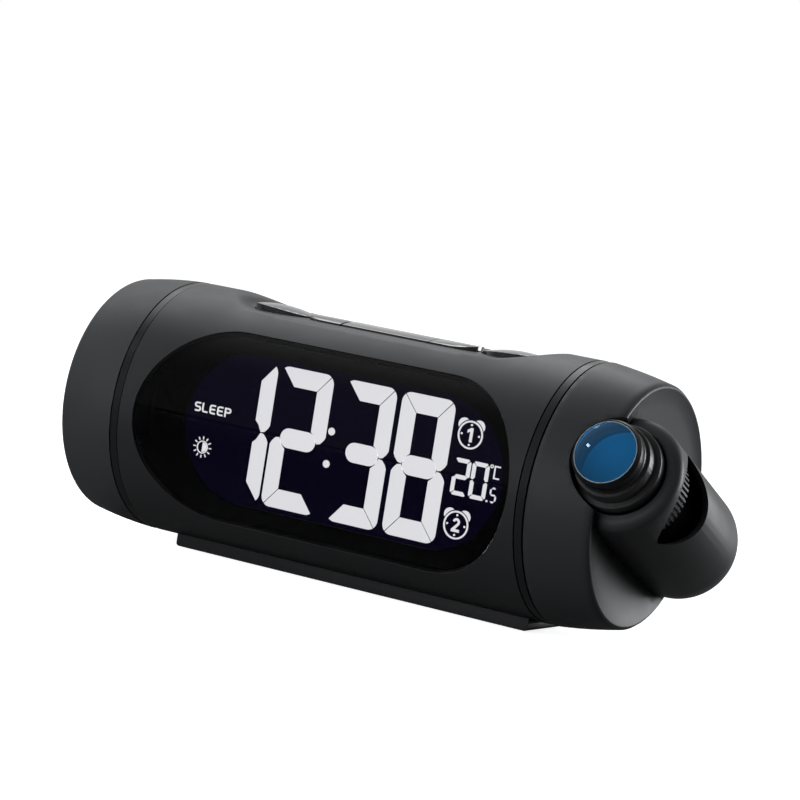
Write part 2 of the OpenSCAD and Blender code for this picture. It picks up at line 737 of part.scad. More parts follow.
module board_screws() color("#a8abb0") {
  for (x = [-1, 1]) for (z = [-1, 1])
    translate([x * spacer_dx, main_board_y + pcb_t, axis_h + z * spacer_dz]) rotate([90, 0, 0]) screw(8);
  for (x = [-1, 1]) for (y = [-1, 1])
    translate([x * board_post_x, y * board_post_y, button_board_top - pcb_t]) screw(6);
}

tuner_len = 24;
tuner_h = 16;
tuner_t = 4;
capacitor_len = 11;
capacitor_r = 3.1;
capacitor_pitch = 8;

module tuner_can() color("#b9bcc0") front_view(main_board_y + pcb_t, main_board_y + pcb_t + tuner_t)
  translate([-14, -4]) square([tuner_len, tuner_h], center = true);

module capacitors() color("#20242c") for (i = [0:2])
  y_rod(capacitor_r + 0.4 * (i % 2), main_board_y + pcb_t, main_board_y + pcb_t + capacitor_len,
    4 - board_half + capacitor_pitch * i, axis_h + 8);

module button_board() color("#1f5c34") difference() {
  translate([-button_board_len / 2, -button_board_w / 2, button_board_top - pcb_t])
    cube([button_board_len, button_board_w, pcb_t]);
  for (x = [-1, 1]) for (y = [-1, 1]) translate([x * board_post_x, y * board_post_y, button_board_top - pcb_t - 1])
    cylinder(r = screw_clear_r, h = pcb_t + 2, $fn = 32);
}

key_places = [-oval_at, -side_key_x, 0, side_key_x, oval_at];

module button_switches() color("#2a2a2c") for (x = key_places) {
  translate([x - switch_w / 2, -switch_w / 2, button_board_top]) cube([switch_w, switch_w, switch_h]);
  translate([x, 0, button_board_top + switch_h - eps]) cylinder(r = plunger_r, h = plunger_h + eps, $fn = 32);
}

// ---------------------------------------------------------------- keys

// Key body from its outline, a flange that stops it under the deck, and its stem
module key_stem(x) translate([x, 0, stem_z]) cylinder(r = key_stem_r, h = stem_len + eps, $fn = 32);

module bar_part(x0, x1, grow) intersection() {
  bar_outline(grow);
  translate([x0, -key_depth]) square([x1 - x0, 2 * key_depth]);
}

module bar_key(x0, x1, stem_x) color("#8f9296") union() {
  intersection() {
    translate([0, 0, flange_z]) linear_extrude(key_top - flange_z) bar_part(x0, x1, 0);
    translate([x0 - 1, 0, key_top - bar_crown_r]) rotate([0, 90, 0])
      cylinder(r = bar_crown_r, h = x1 - x0 + 2, $fn = 120);
  }
  translate([0, 0, flange_z]) linear_extrude(key_flange_t)
    bar_part(x0, x1, key_flange_w + key_gap);
  key_stem(stem_x);
}

module snooze_bar() bar_key(-snooze_half + bar_split / 2, snooze_half - bar_split / 2, 0);
module bar_key_left() bar_key(-bar_l / 2, -snooze_half - bar_split / 2, -side_key_x);
module bar_key_right() bar_key(snooze_half + bar_split / 2, bar_l / 2, side_key_x);

module oval_key(side) color("#8f9296") union() {
  intersection() {
    translate([side * oval_at, 0, flange_z]) linear_extrude(oval_top - flange_z) oval_outline(0);
    translate([side * (oval_at + oval_crown_x), 0, oval_top - oval_crown_r])
      sphere(r = oval_crown_r, $fn = 120);
  }
  translate([0, 0, flange_z]) linear_extrude(key_flange_t) intersection() {
    translate([side * oval_at, 0]) oval_outline(key_flange_w + key_gap);
    translate([side * (oval_at + 0.4), 0]) square([oval_len + 0.8, 2 * key_depth], center = true);
  }
  key_stem(side * oval_at);
}

module oval_key_left() oval_key(-1);
module oval_key_right() oval_key(1);

// ---------------------------------------------------------------- ends

module trim_ring() union() {
  tube(barrel_r - ring_groove_depth, ring_inner_r, 0, ring_w);
  tube(barrel_r - 0.15, ring_inner_r, ring_groove, ring_w - ring_groove);
}

module left_trim_ring() color("#141416") on_axis() translate([0, 0, -half_body - ring_w]) trim_ring();
module right_trim_ring() color("#141416") on_axis() translate([0, 0, half_body]) trim_ring();

// Radius of the left end cap at a distance along it
function left_cap_r(u) = barrel_r - (barrel_r - left_rim) * (0.28 * u / left_cap_len + 0.72 * pow(u / left_cap_len, 2));

module left_end_cap() color("#2b2b2d") union() {
  difference() {
    on_axis() mirror([0, 0, 1]) translate([0, 0, half_body + ring_w]) rotate_extrude() {
      difference() {
        union() {
          polygon(concat([[0, 0]], [for (i = [0:6]) [left_cap_r(i * left_cap_len / 6), i * left_cap_len / 6]],
            [[0, left_cap_len]]));
          square([left_rim - left_edge_r, left_cap_len + left_edge_r]);
          translate([left_rim - left_edge_r, left_cap_len]) circle(r = left_edge_r, $fn = 48);
        }
        translate([-1, -1]) square([left_rim - cap_wall - 0.6 + 1, left_cap_len + left_edge_r - cap_wall + 1]);
      }
    }
    // Speaker grille: level slots, longer near the middle
    for (i = [-5:5]) translate([-left_face - 2, 0, axis_h + i * 4.2])
      cube([12, 2 * sqrt(pow(speaker_rim - 3, 2) - pow(i * 4.2, 2)), grille_slot], center = true);
  }
  for (p = cap_bosses) difference() {
    x_rod(boss_r, -left_face + cap_wall - 0.2, -plate_out_x, p[0], p[1]);
    x_rod(screw_pilot_r, -plate_out_x - 9, -plate_out_x + 1, p[0], p[1]);
  }
}

module end_plate(bore, x_out, x_in) difference() {
  translate([min(x_out, x_in), 0, axis_h]) rotate([0, 90, 0]) tube(plate_r, bore, 0, abs(x_out - x_in));
  for (p = plate_screws) {
    x_rod(screw_clear_r, min(x_out, x_in) - 1, max(x_out, x_in) + 1, p[0], p[1]);
    x_rod(screw_head_r + 0.2, x_out > 0 ? x_out - screw_head_t - 0.2 : x_out - 1,
      x_out > 0 ? x_out + 1 : x_out + screw_head_t + 0.2, p[0], p[1]);
  }
}

speaker_hole_r = speaker_rim - 3.5;

module left_bulkhead() color("#1f2022") difference() {
  end_plate(speaker_hole_r, -plate_out_x, -plate_in_x);
  for (p = cap_bosses) x_rod(screw_clear_r, -plate_out_x - 1, -plate_in_x + 1, p[0], p[1]);
  for (a = [45:90:315]) x_rod(screw_pilot_r, -plate_out_x - 1, -plate_in_x + 1,
    (speaker_rim - 1.7) * cos(a), (speaker_rim - 1.7) * sin(a));
}

basket_t = 1;

module speaker_frame() color("#5c6066") on_axis() translate([0, 0, -plate_out_x]) difference() {
  union() {
    translate([0, 0, -basket_t]) cylinder(r = speaker_rim, h = basket_t);
    cylinder(r1 = speaker_hole_r - 0.4, r2 = magnet_r, h = speaker_depth);
  }
  translate([0, 0, -eps]) cylinder(r1 = speaker_hole_r - 0.4 - basket_t, r2 = magnet_r - basket_t,
    h = speaker_depth - basket_t);
  translate([0, 0, -2]) cylinder(r = speaker_hole_r - 0.4 - basket_t, h = 2);
  for (a = [45:90:315]) rotate([0, 0, a]) translate([speaker_rim - 1.7, 0, -2])
    cylinder(r = screw_pilot_r, h = 4, $fn = 32);
}

module speaker_cone() color("#17181a") on_axis() translate([0, 0, -plate_out_x]) difference() {
  cylinder(r1 = speaker_hole_r - 0.6 - basket_t, r2 = magnet_r * 0.45, h = speaker_depth - basket_t - 0.2);
  translate([0, 0, -eps]) cylinder(r1 = speaker_hole_r - 1.4 - basket_t, r2 = magnet_r * 0.45 - 0.8,
    h = speaker_depth - basket_t - 1);
}

module speaker_magnet() color("#3c3f44") on_axis()
  translate([0, 0, -plate_out_x + speaker_depth]) cylinder(r = magnet_r, h = magnet_len);

module speaker_screws() color("#a8abb0") for (a = [45:90:315])
  translate([-plate_out_x - basket_t, (speaker_rim - 1.7) * cos(a), axis_h + (speaker_rim - 1.7) * sin(a)])
    rotate([0, 90, 0]) screw(basket_t + plate_t - 0.3);

module bulkhead_screws() color("#a8abb0") {
  for (side = [-1, 1]) for (p = plate_screws)
    translate([side * (plate_out_x - screw_head_t - 0.2 + screw_head_t), p[0], axis_h + p[1]])
      rotate([0, -side * 90, 0]) translate([0, 0, screw_head_t]) screw(plate_t - screw_head_t + 6);
  for (p = cap_bosses) translate([-plate_in_x, p[0], axis_h + p[1]]) rotate([0, -90, 0]) screw(plate_t + 7);
}

// ---------------------------------------------------------------- swivel

module bearing_plate() color("#1f2022") end_plate(bush_r + seat_gap, plate_out_x, plate_in_x);

module swivel_bush() color("#d9d6cc") on_axis() union() {
  tube(bush_r, hub_r + hub_fit, bush_in_x, plate_out_x);
  tube(bush_flange_r, hub_r + hub_fit, bush_in_x, plate_in_x);
}

module spring_washer() color("#b9bcc0") on_axis() tube(clip_r, hub_r + 0.4, washer_in_x, bush_in_x);

module retaining_clip() color("#8c9096") on_axis() tube(clip_r, hub_r - clip_groove + 0.05, clip_in_x, washer_in_x);

module swivel_plate() color("#232427") difference() {
  on_axis() difference() {
    union() {
      tube(hub_r, hub_bore_r, hub_end_x, swivel_in_x + 1);
      tube(swivel_r, hub_bore_r, swivel_in_x, swivel_out_x);
    }
    tube(hub_r + 1, hub_r - clip_groove, clip_in_x, washer_in_x);
  }
  for (s = [-1, 1]) for (w = [-1, 1]) beam_rod(screw_clear_r, swivel_in_x - 1, swivel_out_x + 1, s * cap_screw_s, w * cap_screw_w);
  for (s = [-1, 1]) for (w = [-1, 1]) beam_rod(screw_head_r + 0.2, swivel_in_x - 1, swivel_in_x + screw_head_t,
    s * cap_screw_s, w * cap_screw_w);
  for (w = [-1, 1]) {
    beam_rod(screw_clear_r, swivel_in_x - 1, swivel_out_x + 1, head_screw_s, w * head_screw_w);
    beam_rod(screw_head_r + 0.2, swivel_in_x - 1, swivel_in_x + screw_head_t, head_screw_s, w * head_screw_w);
  }
}

// Cylinder along X at a place given along and across the beam
module beam_rod(r, x0, x1, s, w) translate([0, 0, axis_h]) rotate([90 - beam_tilt, 0, 0])
  translate([x0, w, s]) rotate([0, 90, 0]) cylinder(r = r, h = x1 - x0, $fn = 32);

// Radius of the projector cap at a distance along it
function right_cap_r(u) = barrel_r - (barrel_r - right_rim) * (0.6 * u / right_cap_len + 0.4 * pow(u / right_cap_len, 2));

dish_r = right_rim - 1.6;
floor_t = 2;
function dish_x(r) = right_rim_x - 0.35 - dish_depth * (1 - pow(r / dish_r, 2));

// Head outline, along the beam, as a body of revolution
module head_form(r, back, front, edge) {
  translate([0, 0, -back]) sphere(r = r);
  translate([0, 0, -back]) cylinder(r = r, h = back + front - edge);
  translate([0, 0, front - edge - eps]) cylinder(r = r - edge, h = edge + eps);
  if (edge > 0) translate([0, 0, front - edge]) rotate_extrude() translate([r - edge, 0]) intersection() {
    circle(r = edge, $fn = 48);
    square([edge, edge]);
  }
}

module projector_cap() color("#333436") difference() {
  union() {
    on_axis() rotate_extrude() polygon(concat(
      [for (i = [0:6]) [right_cap_r(cap_gap + i * (right_cap_len - 1 - cap_gap) / 6),
        cap_start + i * (right_cap_len - 1 - cap_gap) / 6]],
      [[right_rim - 0.45, right_rim_x - 0.15], [right_rim - 1, right_rim_x]],
      [for (i = [0:8]) let (r = dish_r * (1 - i / 8)) [r, dish_x(r)]],
      [for (i = [0:8]) let (r = (dish_r - 1) * i / 8) [r, dish_x(r) - floor_t]],
      [[right_rim - cap_wall, dish_x(dish_r - 1) - floor_t - 0.5],
        [barrel_r - cap_wall - 0.4, cap_start]]));
    // Bosses for the cap's screws
    for (s = [-1, 1]) for (w = [-1, 1])
      beam_rod(boss_r, swivel_out_x, right_rim_x - floor_t - 1.4, s * cap_screw_s, w * cap_screw_w);
  }
  on_beam() head_form(head_r + seat_gap, dome_at, head_face, head_edge_r);
  on_beam() translate([notch_r - notch_reach, 0, head_face - head_edge_r - eps])
    cylinder(r = notch_r, h = barrel_r);
  on_beam() translate([0, 0, head_face - 1]) cylinder(r = front_hole_r + 0.2, h = step_rear_front - head_face + 2.6);
  for (s = [-1, 1]) for (w = [-1, 1])
    beam_rod(screw_pilot_r, swivel_out_x - 1, swivel_out_x + 8, s * cap_screw_s, w * cap_screw_w);
}

module cap_screws() color("#a8abb0") for (s = [-1, 1]) for (w = [-1, 1])
  translate([0, 0, axis_h]) rotate([90 - beam_tilt, 0, 0])
    translate([swivel_in_x + screw_head_t, w * cap_screw_w, s * cap_screw_s]) rotate([0, 90, 0]) screw(7);

module head_screws() color("#a8abb0") for (w = [-1, 1])
  translate([0, 0, axis_h]) rotate([90 - beam_tilt, 0, 0])
    translate([swivel_in_x + screw_head_t, w * head_screw_w, head_screw_s]) rotate([0, 90, 0]) screw(9);

// ---------------------------------------------------------------- head

// Eye-shaped opening where two arcs of one radius meet
slot_arc = (pow(slot_h / 2, 2) + pow(slot_len / 2, 2)) / slot_len;

module slot_cut() translate([head_in_r / 2, 0, slot_at]) rotate([0, 90, 0]) intersection() {
  for (side = [0]) translate([slot_arc - slot_len / 2, 0, 0]) cylinder(r = slot_arc, h = head_r, $fn = 96);
  translate([slot_len / 2 - slot_arc, 0, 0]) cylinder(r = slot_arc, h = head_r, $fn = 96);
}

module head_shell() color("#343537") difference() {
  union() {
    on_beam() difference() {
      head_form(head_r, dome_at, head_face, head_edge_r);
      translate([0, 0, -dome_at]) sphere(r = head_in_r);
      translate([0, 0, -dome_at]) cylinder(r = head_in_r, h = dome_at + wheel_face + 0.2);
      translate([0, 0, wheel_face]) cylinder(r = front_hole_r, h = head_face - wheel_face + 1);
      slot_cut();
      translate([-2 * head_r + head_floor, -2 * head_r, -3 * head_r]) cube([2 * head_r, 4 * head_r, 6 * head_r]);
    }
    // Screw columns, standing on the swivel plate
    for (w = [-1, 1]) intersection() {
      beam_rod(boss_r, swivel_out_x, head_at + head_r, head_screw_s, w * head_screw_w);
      on_beam() union() {
        head_form(head_r - 0.5, dome_at, head_face, head_edge_r);
        translate([-2 * head_r, -head_r, -2 * head_r]) cube([2 * head_r, 2 * head_r, 4 * head_r]);
      }
    }
  }
  for (w = [-1, 1]) beam_rod(screw_pilot_r, swivel_out_x - 1, swivel_out_x + 10, head_screw_s, w * head_screw_w);
}

module optics_tube() color("#1c1d1f") difference() {
  union() {
    on_beam() translate([0, 0, optics_back]) cylinder(r = optics_r, h = optics_front - optics_back);
    // Saddle on the swivel plate
    on_beam() translate([swivel_out_x - head_at, -saddle_half, optics_back + 2])
      cube([head_at - swivel_out_x - 4, 2 * saddle_half, wheel_back - 1.8 - optics_back - 2]);
    // Collar that keeps the focus wheel in place
    on_beam() translate([0, 0, wheel_back - 1.8]) cylinder(r = wheel_bore_r + 0.8, h = 1.5);
  }
  on_beam() translate([0, 0, optics_back - 1]) cylinder(r = optics_bore_r, h = optics_front - optics_back + 2);
}

module led_board() color("#1f5c34") on_beam() translate([0, 0, optics_back + 0.2])
  cylinder(r = optics_bore_r - seat_gap, h = pcb_t);

module projector_led() color("#4aa8ff") on_beam() translate([0, 0, optics_back + 0.2 + pcb_t]) union() {
  cylinder(r = 2.5, h = 3, $fn = 32);
  translate([0, 0, 3]) sphere(r = 2.5, $fn = 32);
}

module condenser_lens() color("#cfe6f2") on_beam() intersection() {
  translate([0, 0, -3]) cylinder(r = optics_bore_r - seat_gap, h = 6);
  translate([0, 0, -3 - 11 + 6]) sphere(r = 11);
}

module image_lcd() color("#2b3550") on_beam() translate([-6.2, -6.2, 6]) cube([12.4, 12.4, 1.4]);

module focus_wheel() color("#2a2b2d") on_beam() translate([0, 0, wheel_back]) difference() {
  linear_extrude(wheel_w) polygon([for (i = [0:rib_count - 1]) each let (a = 360 / rib_count) [
    [(wheel_r - rib_depth) * cos(a * i), (wheel_r - rib_depth) * sin(a * i)],
    [(wheel_r - rib_depth) * cos(a * (i + 0.4)), (wheel_r - rib_depth) * sin(a * (i + 0.4))],
    [wheel_r * cos(a * (i + 0.5)), wheel_r * sin(a * (i + 0.5))],
    [wheel_r * cos(a * (i + 0.9)), wheel_r * sin(a * (i + 0.9))]]]);
  translate([0, 0, -1]) cylinder(r = wheel_bore_r, h = wheel_w + 2);
}

module lens_barrel() color("#222325") on_beam() difference() {
  union() {
    translate([0, 0, sleeve_back]) cylinder(r = sleeve_r, h = head_face + 1 - sleeve_back);
    translate([0, 0, head_face + 0.6]) cylinder(r = step_rear_r, h = step_rear_front - head_face - 0.6);
    translate([0, 0, step_rear_front - eps]) cylinder(r = step_front_r, h = step_front_front - step_rear_front + eps);
    translate([0, 0, step_front_front - eps]) cylinder(r = bezel_r, h = bezel_back - step_front_front + eps);
  }
  translate([0, 0, sleeve_back - 1]) cylinder(r = sleeve_bore_r, h = optics_front + 1.8 - sleeve_back + 1);
  translate([0, 0, sleeve_back]) cylinder(r = barrel_bore_r, h = bezel_front - sleeve_back);
}

module lens_bezel() color("#0c0c0e") on_beam() difference() {
  union() {
    translate([0, 0, bezel_back]) cylinder(r = bezel_r, h = 2.8);
    translate([0, 0, bezel_back + 2.8 - eps]) cylinder(r1 = bezel_r, r2 = lens_r + 0.3,
      h = bezel_front - bezel_back - 2.8 + eps);
  }
  translate([0, 0, bezel_back - 1]) cylinder(r = barrel_bore_r, h = 6);
}

lens_bulge_r = 26;
lens_edge = bezel_front - 0.4;

module front_lens() color("#1d6f93") on_beam() intersection() {
  translate([0, 0, bezel_back - 1.4]) cylinder(r = lens_r, h = 10);
  translate([0, 0, lens_edge - sqrt(pow(lens_bulge_r, 2) - pow(lens_r, 2))]) sphere(r = lens_bulge_r, $fn = 120);
}

module rear_lens() color("#9fd0e0") on_beam() translate([0, 0, optics_front + 3]) cylinder(r = lens_r, h = 3);

// ---------------------------------------------------------------- foot

foot_screw_x = foot_l * 0.32;
foot_screw_head_t = 1.1;
foot_screw_seat = strip_t + foot_screw_head_t;

module base_foot() color("#1b1b1d") difference() {
  translate([foot_shift, foot_depth / 2, 0]) rotate([90, 0, 0]) linear_extrude(foot_depth) union() {
    translate([-foot_l / 2, strip_proud + foot_corner]) square([foot_l, foot_drop + 3]);
    translate([-foot_l / 2 + foot_corner, strip_proud]) square([foot_l - 2 * foot_corner, foot_drop + 3]);
    for (side = [-1, 1]) translate([side * (foot_l / 2 - foot_corner), strip_proud + foot_corner])
      circle(r = foot_corner, $fn = 32);
  }
  on_axis() translate([0, 0, -body_len]) cylinder(r = barrel_r + seat_gap, h = 2 * body_len);
  for (x = [-1, 1]) translate([foot_shift + x * foot_screw_x, 0, 0]) {
    translate([0, 0, -1]) cylinder(r = screw_clear_r, h = 10, $fn = 32);
    translate([0, 0, -1]) cylinder(r = screw_head_r + 0.3, h = foot_screw_seat + 1, $fn = 32);
  }
  strip(seat_gap);
}

// Rubber strip under the foot, which hides the foot's screws
module strip(grow) translate([foot_shift, 0, 0]) linear_extrude(strip_t)
  stadium(strip_l + 2 * grow, strip_w + 2 * grow);

module grip_strip() color("#101011") strip(0);

module foot_screws() color("#a8abb0") for (x = [-1, 1])
  translate([foot_shift + x * foot_screw_x, 0, foot_screw_seat]) screw(foot_drop + 5 - strip_proud, foot_screw_head_t);

module cover_screws() color("#a8abb0") for (x = [-1, 1]) for (z = [-1, 1])
  translate([x * cover_boss_x, cover_seat_y, axis_h + z * cover_boss_z]) rotate([90, 0, 0]) screw(12);

// ---------------------------------------------------------------- rear fittings

gland_r = 2.6;

module battery_door() color("#303133") union() {
  translate([cell_at - door_w / 2, rear_floor + door_gap / 2, rear_mid_z - door_h / 2])
    cube([door_w, door_t, door_h]);
  // Thumb ribs
  for (i = [-1, 0, 1]) translate([cell_at + i * 3 - 0.6, rear_floor + door_gap / 2 + door_t - eps, rear_mid_z - 5])
    cube([1.2, 0.7, 10]);
}

module cell_holder() color("#26272a") difference() {
  translate([cell_at - cell_opening / 2 - 2, rear_floor - shell_wall - 4.6, rear_mid_z - cell_opening / 2 - 1])
    cube([cell_opening + 4, 4.6, cell_opening + 2]);
  y_rod(cell_r + cell_gap, rear_floor - shell_wall - 2.4, rear_floor, cell_at, rear_mid_z);
}

module backup_cell() color("#c6c9cd")
  y_rod(cell_r, rear_floor - shell_wall - 2.4, rear_floor - shell_wall - 2.4 + cell_t, cell_at, rear_mid_z);

module dc_jack() color("#151517") union() {
  difference() {
    union() {
      translate([jack_at - jack_body_w / 2, rear_floor - shell_wall - jack_body_len, rear_mid_z - jack_body_w / 2])
        cube([jack_body_w, jack_body_len, jack_body_w]);
      y_rod(jack_nose_r, rear_floor - shell_wall - 1, rear_floor + jack_nose, jack_at, rear_mid_z);
    }
    y_rod(jack_bore_r, rear_floor + jack_nose - jack_depth, rear_floor + jack_nose + 1, jack_at, rear_mid_z);
  }
  y_rod(jack_pin_r, rear_floor + jack_nose - jack_depth - 1, rear_floor - 0.4, jack_at, rear_mid_z);
}

module antenna_gland() color("#151517") difference() {
  union() {
    y_rod(gland_r, rear_floor - shell_wall - 1, rear_floor + 1.2, gland_at, rear_mid_z);
    y_rod(gland_r + 1.4, rear_floor - shell_wall - 1.4, rear_floor - shell_wall, gland_at, rear_mid_z);
  }
  y_rod(0.9, rear_floor - shell_wall - 3, rear_floor + 3, gland_at, rear_mid_z);
}

front_shell();
rear_cover();
front_window();
display_bezel();
display_digits();
display_panel();
light_guide();
display_board();
display_frame();
main_board();
board_spacers();
board_screws();
tuner_can();
capacitors();
button_board();
button_switches();
snooze_bar();
bar_key_left();
bar_key_right();
oval_key_left();
oval_key_right();
left_trim_ring();
right_trim_ring();
left_end_cap();
left_bulkhead();
speaker_frame();
speaker_cone();
speaker_magnet();
speaker_screws();
bulkhead_screws();
bearing_plate();
swivel_bush();
swivel_plate();
spring_washer();
retaining_clip();
projector_cap();
cap_screws();
head_shell();
head_screws();
optics_tube();
led_board();
projector_led();
condenser_lens();
image_lcd();
focus_wheel();
lens_barrel();
lens_bezel();
front_lens();
rear_lens();
base_foot();
grip_strip();
foot_screws();
cover_screws();
battery_door();
cell_holder();
backup_cell();
dc_jack();
antenna_gland();
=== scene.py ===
import math

import bmesh
import bpy
import numpy as np
from mathutils import Matrix, Vector


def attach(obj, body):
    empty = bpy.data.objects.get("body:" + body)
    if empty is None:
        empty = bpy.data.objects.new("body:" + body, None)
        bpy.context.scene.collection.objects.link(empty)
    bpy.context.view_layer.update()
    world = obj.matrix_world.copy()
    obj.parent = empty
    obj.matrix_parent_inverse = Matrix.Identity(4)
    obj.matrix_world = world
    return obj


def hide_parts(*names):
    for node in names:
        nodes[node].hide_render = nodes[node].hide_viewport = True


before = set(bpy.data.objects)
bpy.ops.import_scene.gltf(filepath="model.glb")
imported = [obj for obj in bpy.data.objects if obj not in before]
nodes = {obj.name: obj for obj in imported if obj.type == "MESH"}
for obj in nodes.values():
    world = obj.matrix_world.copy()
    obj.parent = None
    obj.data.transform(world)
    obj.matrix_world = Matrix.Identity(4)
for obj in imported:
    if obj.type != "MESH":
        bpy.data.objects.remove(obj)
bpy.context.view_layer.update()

# ---------------------------------------------------------------------------
# Camera: a long lens a little above the table, turned towards the projector end,
# with the whole view leaning, so that the barrel runs down to the right.
camera_data = bpy.data.cameras.new("camera")
camera_data.sensor_width = 36.0
camera_data.lens = 140.3
camera_data.clip_end = 20.0
camera = bpy.data.objects.new("camera", camera_data)
# Columns: the camera's right, its up, its back, and its place (metres)
camera.matrix_world = Matrix(((0.8545, -0.1795, 0.4875, 0.4715),
                              (0.4951, -0.0028, -0.8688, -0.8315),
                              (0.1573, 0.9838, 0.0865, 0.1417),
                              (0.0, 0.0, 0.0, 1.0)))
bpy.context.scene.collection.objects.link(camera)
bpy.context.scene.camera = camera
bpy.context.scene.view_settings.view_transform = "Standard"

# ---------------------------------------------------------------------------
# Studio: a plain white table and a white surround, lit by three soft lamps and a
# small one. Gloss parts mirror a grey table, darkest before the clock, as if a
# black card lay there.


def node_tree(name, owner=None):
    """A new material, or the owner given, with an empty tree, and short ways to add a node and
    to join two sockets."""
    owner = owner or bpy.data.materials.new(name)
    owner.use_nodes = True
    tree = owner.node_tree
    tree.nodes.clear()

    def add(kind, inputs=(), **settings):
        node = tree.nodes.new(kind)
        for key, value in settings.items():
            setattr(node, key, value)
        for key, value in dict(inputs).items():
            node.inputs[key].default_value = value
        return node

    return owner, add, tree.links.new


def mesh_piece(name, points, faces, material, smooth=True):
    """An object at the origin from points (metres) and faces, with one material."""
    mesh = bpy.data.meshes.new(name)
    mesh.from_pydata(np.asarray(points, float).tolist(), [], [list(map(int, f)) for f in faces])
    mesh.materials.append(material)
    mesh.polygons.foreach_set("use_smooth", [smooth] * len(mesh.polygons))
    mesh.update()
    piece = bpy.data.objects.new(name, mesh)
    bpy.context.scene.collection.objects.link(piece)
    return piece


table_white, add, join = node_tree("table_white")
path = add("ShaderNodeLightPath")
lit = add("ShaderNodeBsdfDiffuse", {"Color": (0.62, 0.62, 0.63, 1)})
place = add("ShaderNodeTexCoord")
parts = add("ShaderNodeSeparateXYZ")
card = add("ShaderNodeMapRange", {"From Min": -0.12, "From Max": 0.3, "To Min": 0.05, "To Max": 0.6},
           interpolation_type="SMOOTHSTEP")
dim = add("ShaderNodeBsdfDiffuse")
glow = add("ShaderNodeEmission", {"Color": (1, 1, 1, 1), "Strength": 0.84})
seen = add("ShaderNodeAddShader")
either = add("ShaderNodeMixShader")
out = add("ShaderNodeOutputMaterial")
join(place.outputs["Object"], parts.inputs[0])
join(parts.outputs["Y"], card.inputs["Value"])
join(card.outputs["Result"], dim.inputs["Color"])
join(lit.outputs[0], seen.inputs[0])
join(glow.outputs[0], seen.inputs[1])
join(path.outputs["Is Camera Ray"], either.inputs["Fac"])
join(dim.outputs[0], either.inputs[1])
join(seen.outputs[0], either.inputs[2])
join(either.outputs[0], out.inputs["Surface"])
table_half, table_drop = 9.0, 0.0002    # metres: half the table's side, and its gap to the clock's foot
corners = [(x * table_half, y * table_half, -table_drop) for x, y in ((-1, -1), (1, -1), (1, 1), (-1, 1))]
table_top = mesh_piece("table_top", corners, [(0, 1, 2, 3)], table_white)

# The surround is white to the camera, and to other rays a pale sheet behind the clock and a
# dark room before it: its strength follows the ray's share along the way that the camera looks
world, add, join = node_tree("studio", bpy.data.worlds.new("studio"))
path = add("ShaderNodeLightPath")
where = add("ShaderNodeTexCoord")
behind = add("ShaderNodeVectorMath", operation="DOT_PRODUCT")
behind.inputs[1].default_value = (-0.49, 0.85, 0.2)
sheet = add("ShaderNodeMapRange", {"From Min": -0.15, "From Max": 0.8, "To Min": 0.13, "To Max": 0.7},
            interpolation_type="SMOOTHSTEP")
soft = add("ShaderNodeBackground", {"Color": (1, 1, 1, 1)})
plain = add("ShaderNodeBackground", {"Color": (1, 1, 1, 1)})
either = add("ShaderNodeMixShader")
out = add("ShaderNodeOutputWorld")
join(where.outputs["Generated"], behind.inputs[0])
join(behind.outputs["Value"], sheet.inputs["Value"])
join(sheet.outputs["Result"], soft.inputs["Strength"])
join(path.outputs["Is Camera Ray"], either.inputs["Fac"])
join(soft.outputs[0], either.inputs[1])
join(plain.outputs[0], either.inputs[2])
join(either.outputs[0], out.inputs["Surface"])
bpy.context.scene.world = world

daylight = (0.94, 0.965, 1.0)


def lamp(name, where, target, size, power, mirrored=True):
    """A rectangular area lamp at a place, facing a point, which gloss mirrors or not."""
    data = bpy.data.lights.new(name, "AREA")
    data.shape = "RECTANGLE"
    data.size, data.size_y = size
    data.energy = power
    data.color = daylight
    lamp_object = bpy.data.objects.new(name, data)
    facing = (Vector(target) - Vector(where)).to_track_quat("-Z", "Y")
    lamp_object.matrix_world = Matrix.Translation(where) @ facing.to_matrix().to_4x4()
    lamp_object.visible_glossy = lamp_object.visible_transmission = mirrored
    bpy.context.scene.collection.objects.link(lamp_object)


lamp("top_lamp", (-0.45, 0.38, 0.75), (0, 0, 0.04), (1.1, 0.45), 3.8)
lamp("right_lamp", (0.75, 0.75, 0.25), (0.09, 0, 0.04), (0.5, 0.5), 8.0)
lamp("front_lamp", (-0.4, -1.2, 0.35), (0.0, 0, 0.04), (1.2, 0.6), 24.0, mirrored=False)
lamp("small_lamp", (-0.651, -0.44, 0.601), (0.095, -0.038, 0.06), (0.1, 0.05), 0.2)

# ---------------------------------------------------------------------------
# Housing: front shell and rear cover, injection moulded in black plastic with a
# fine spark-eroded grain, screwed together behind the top.


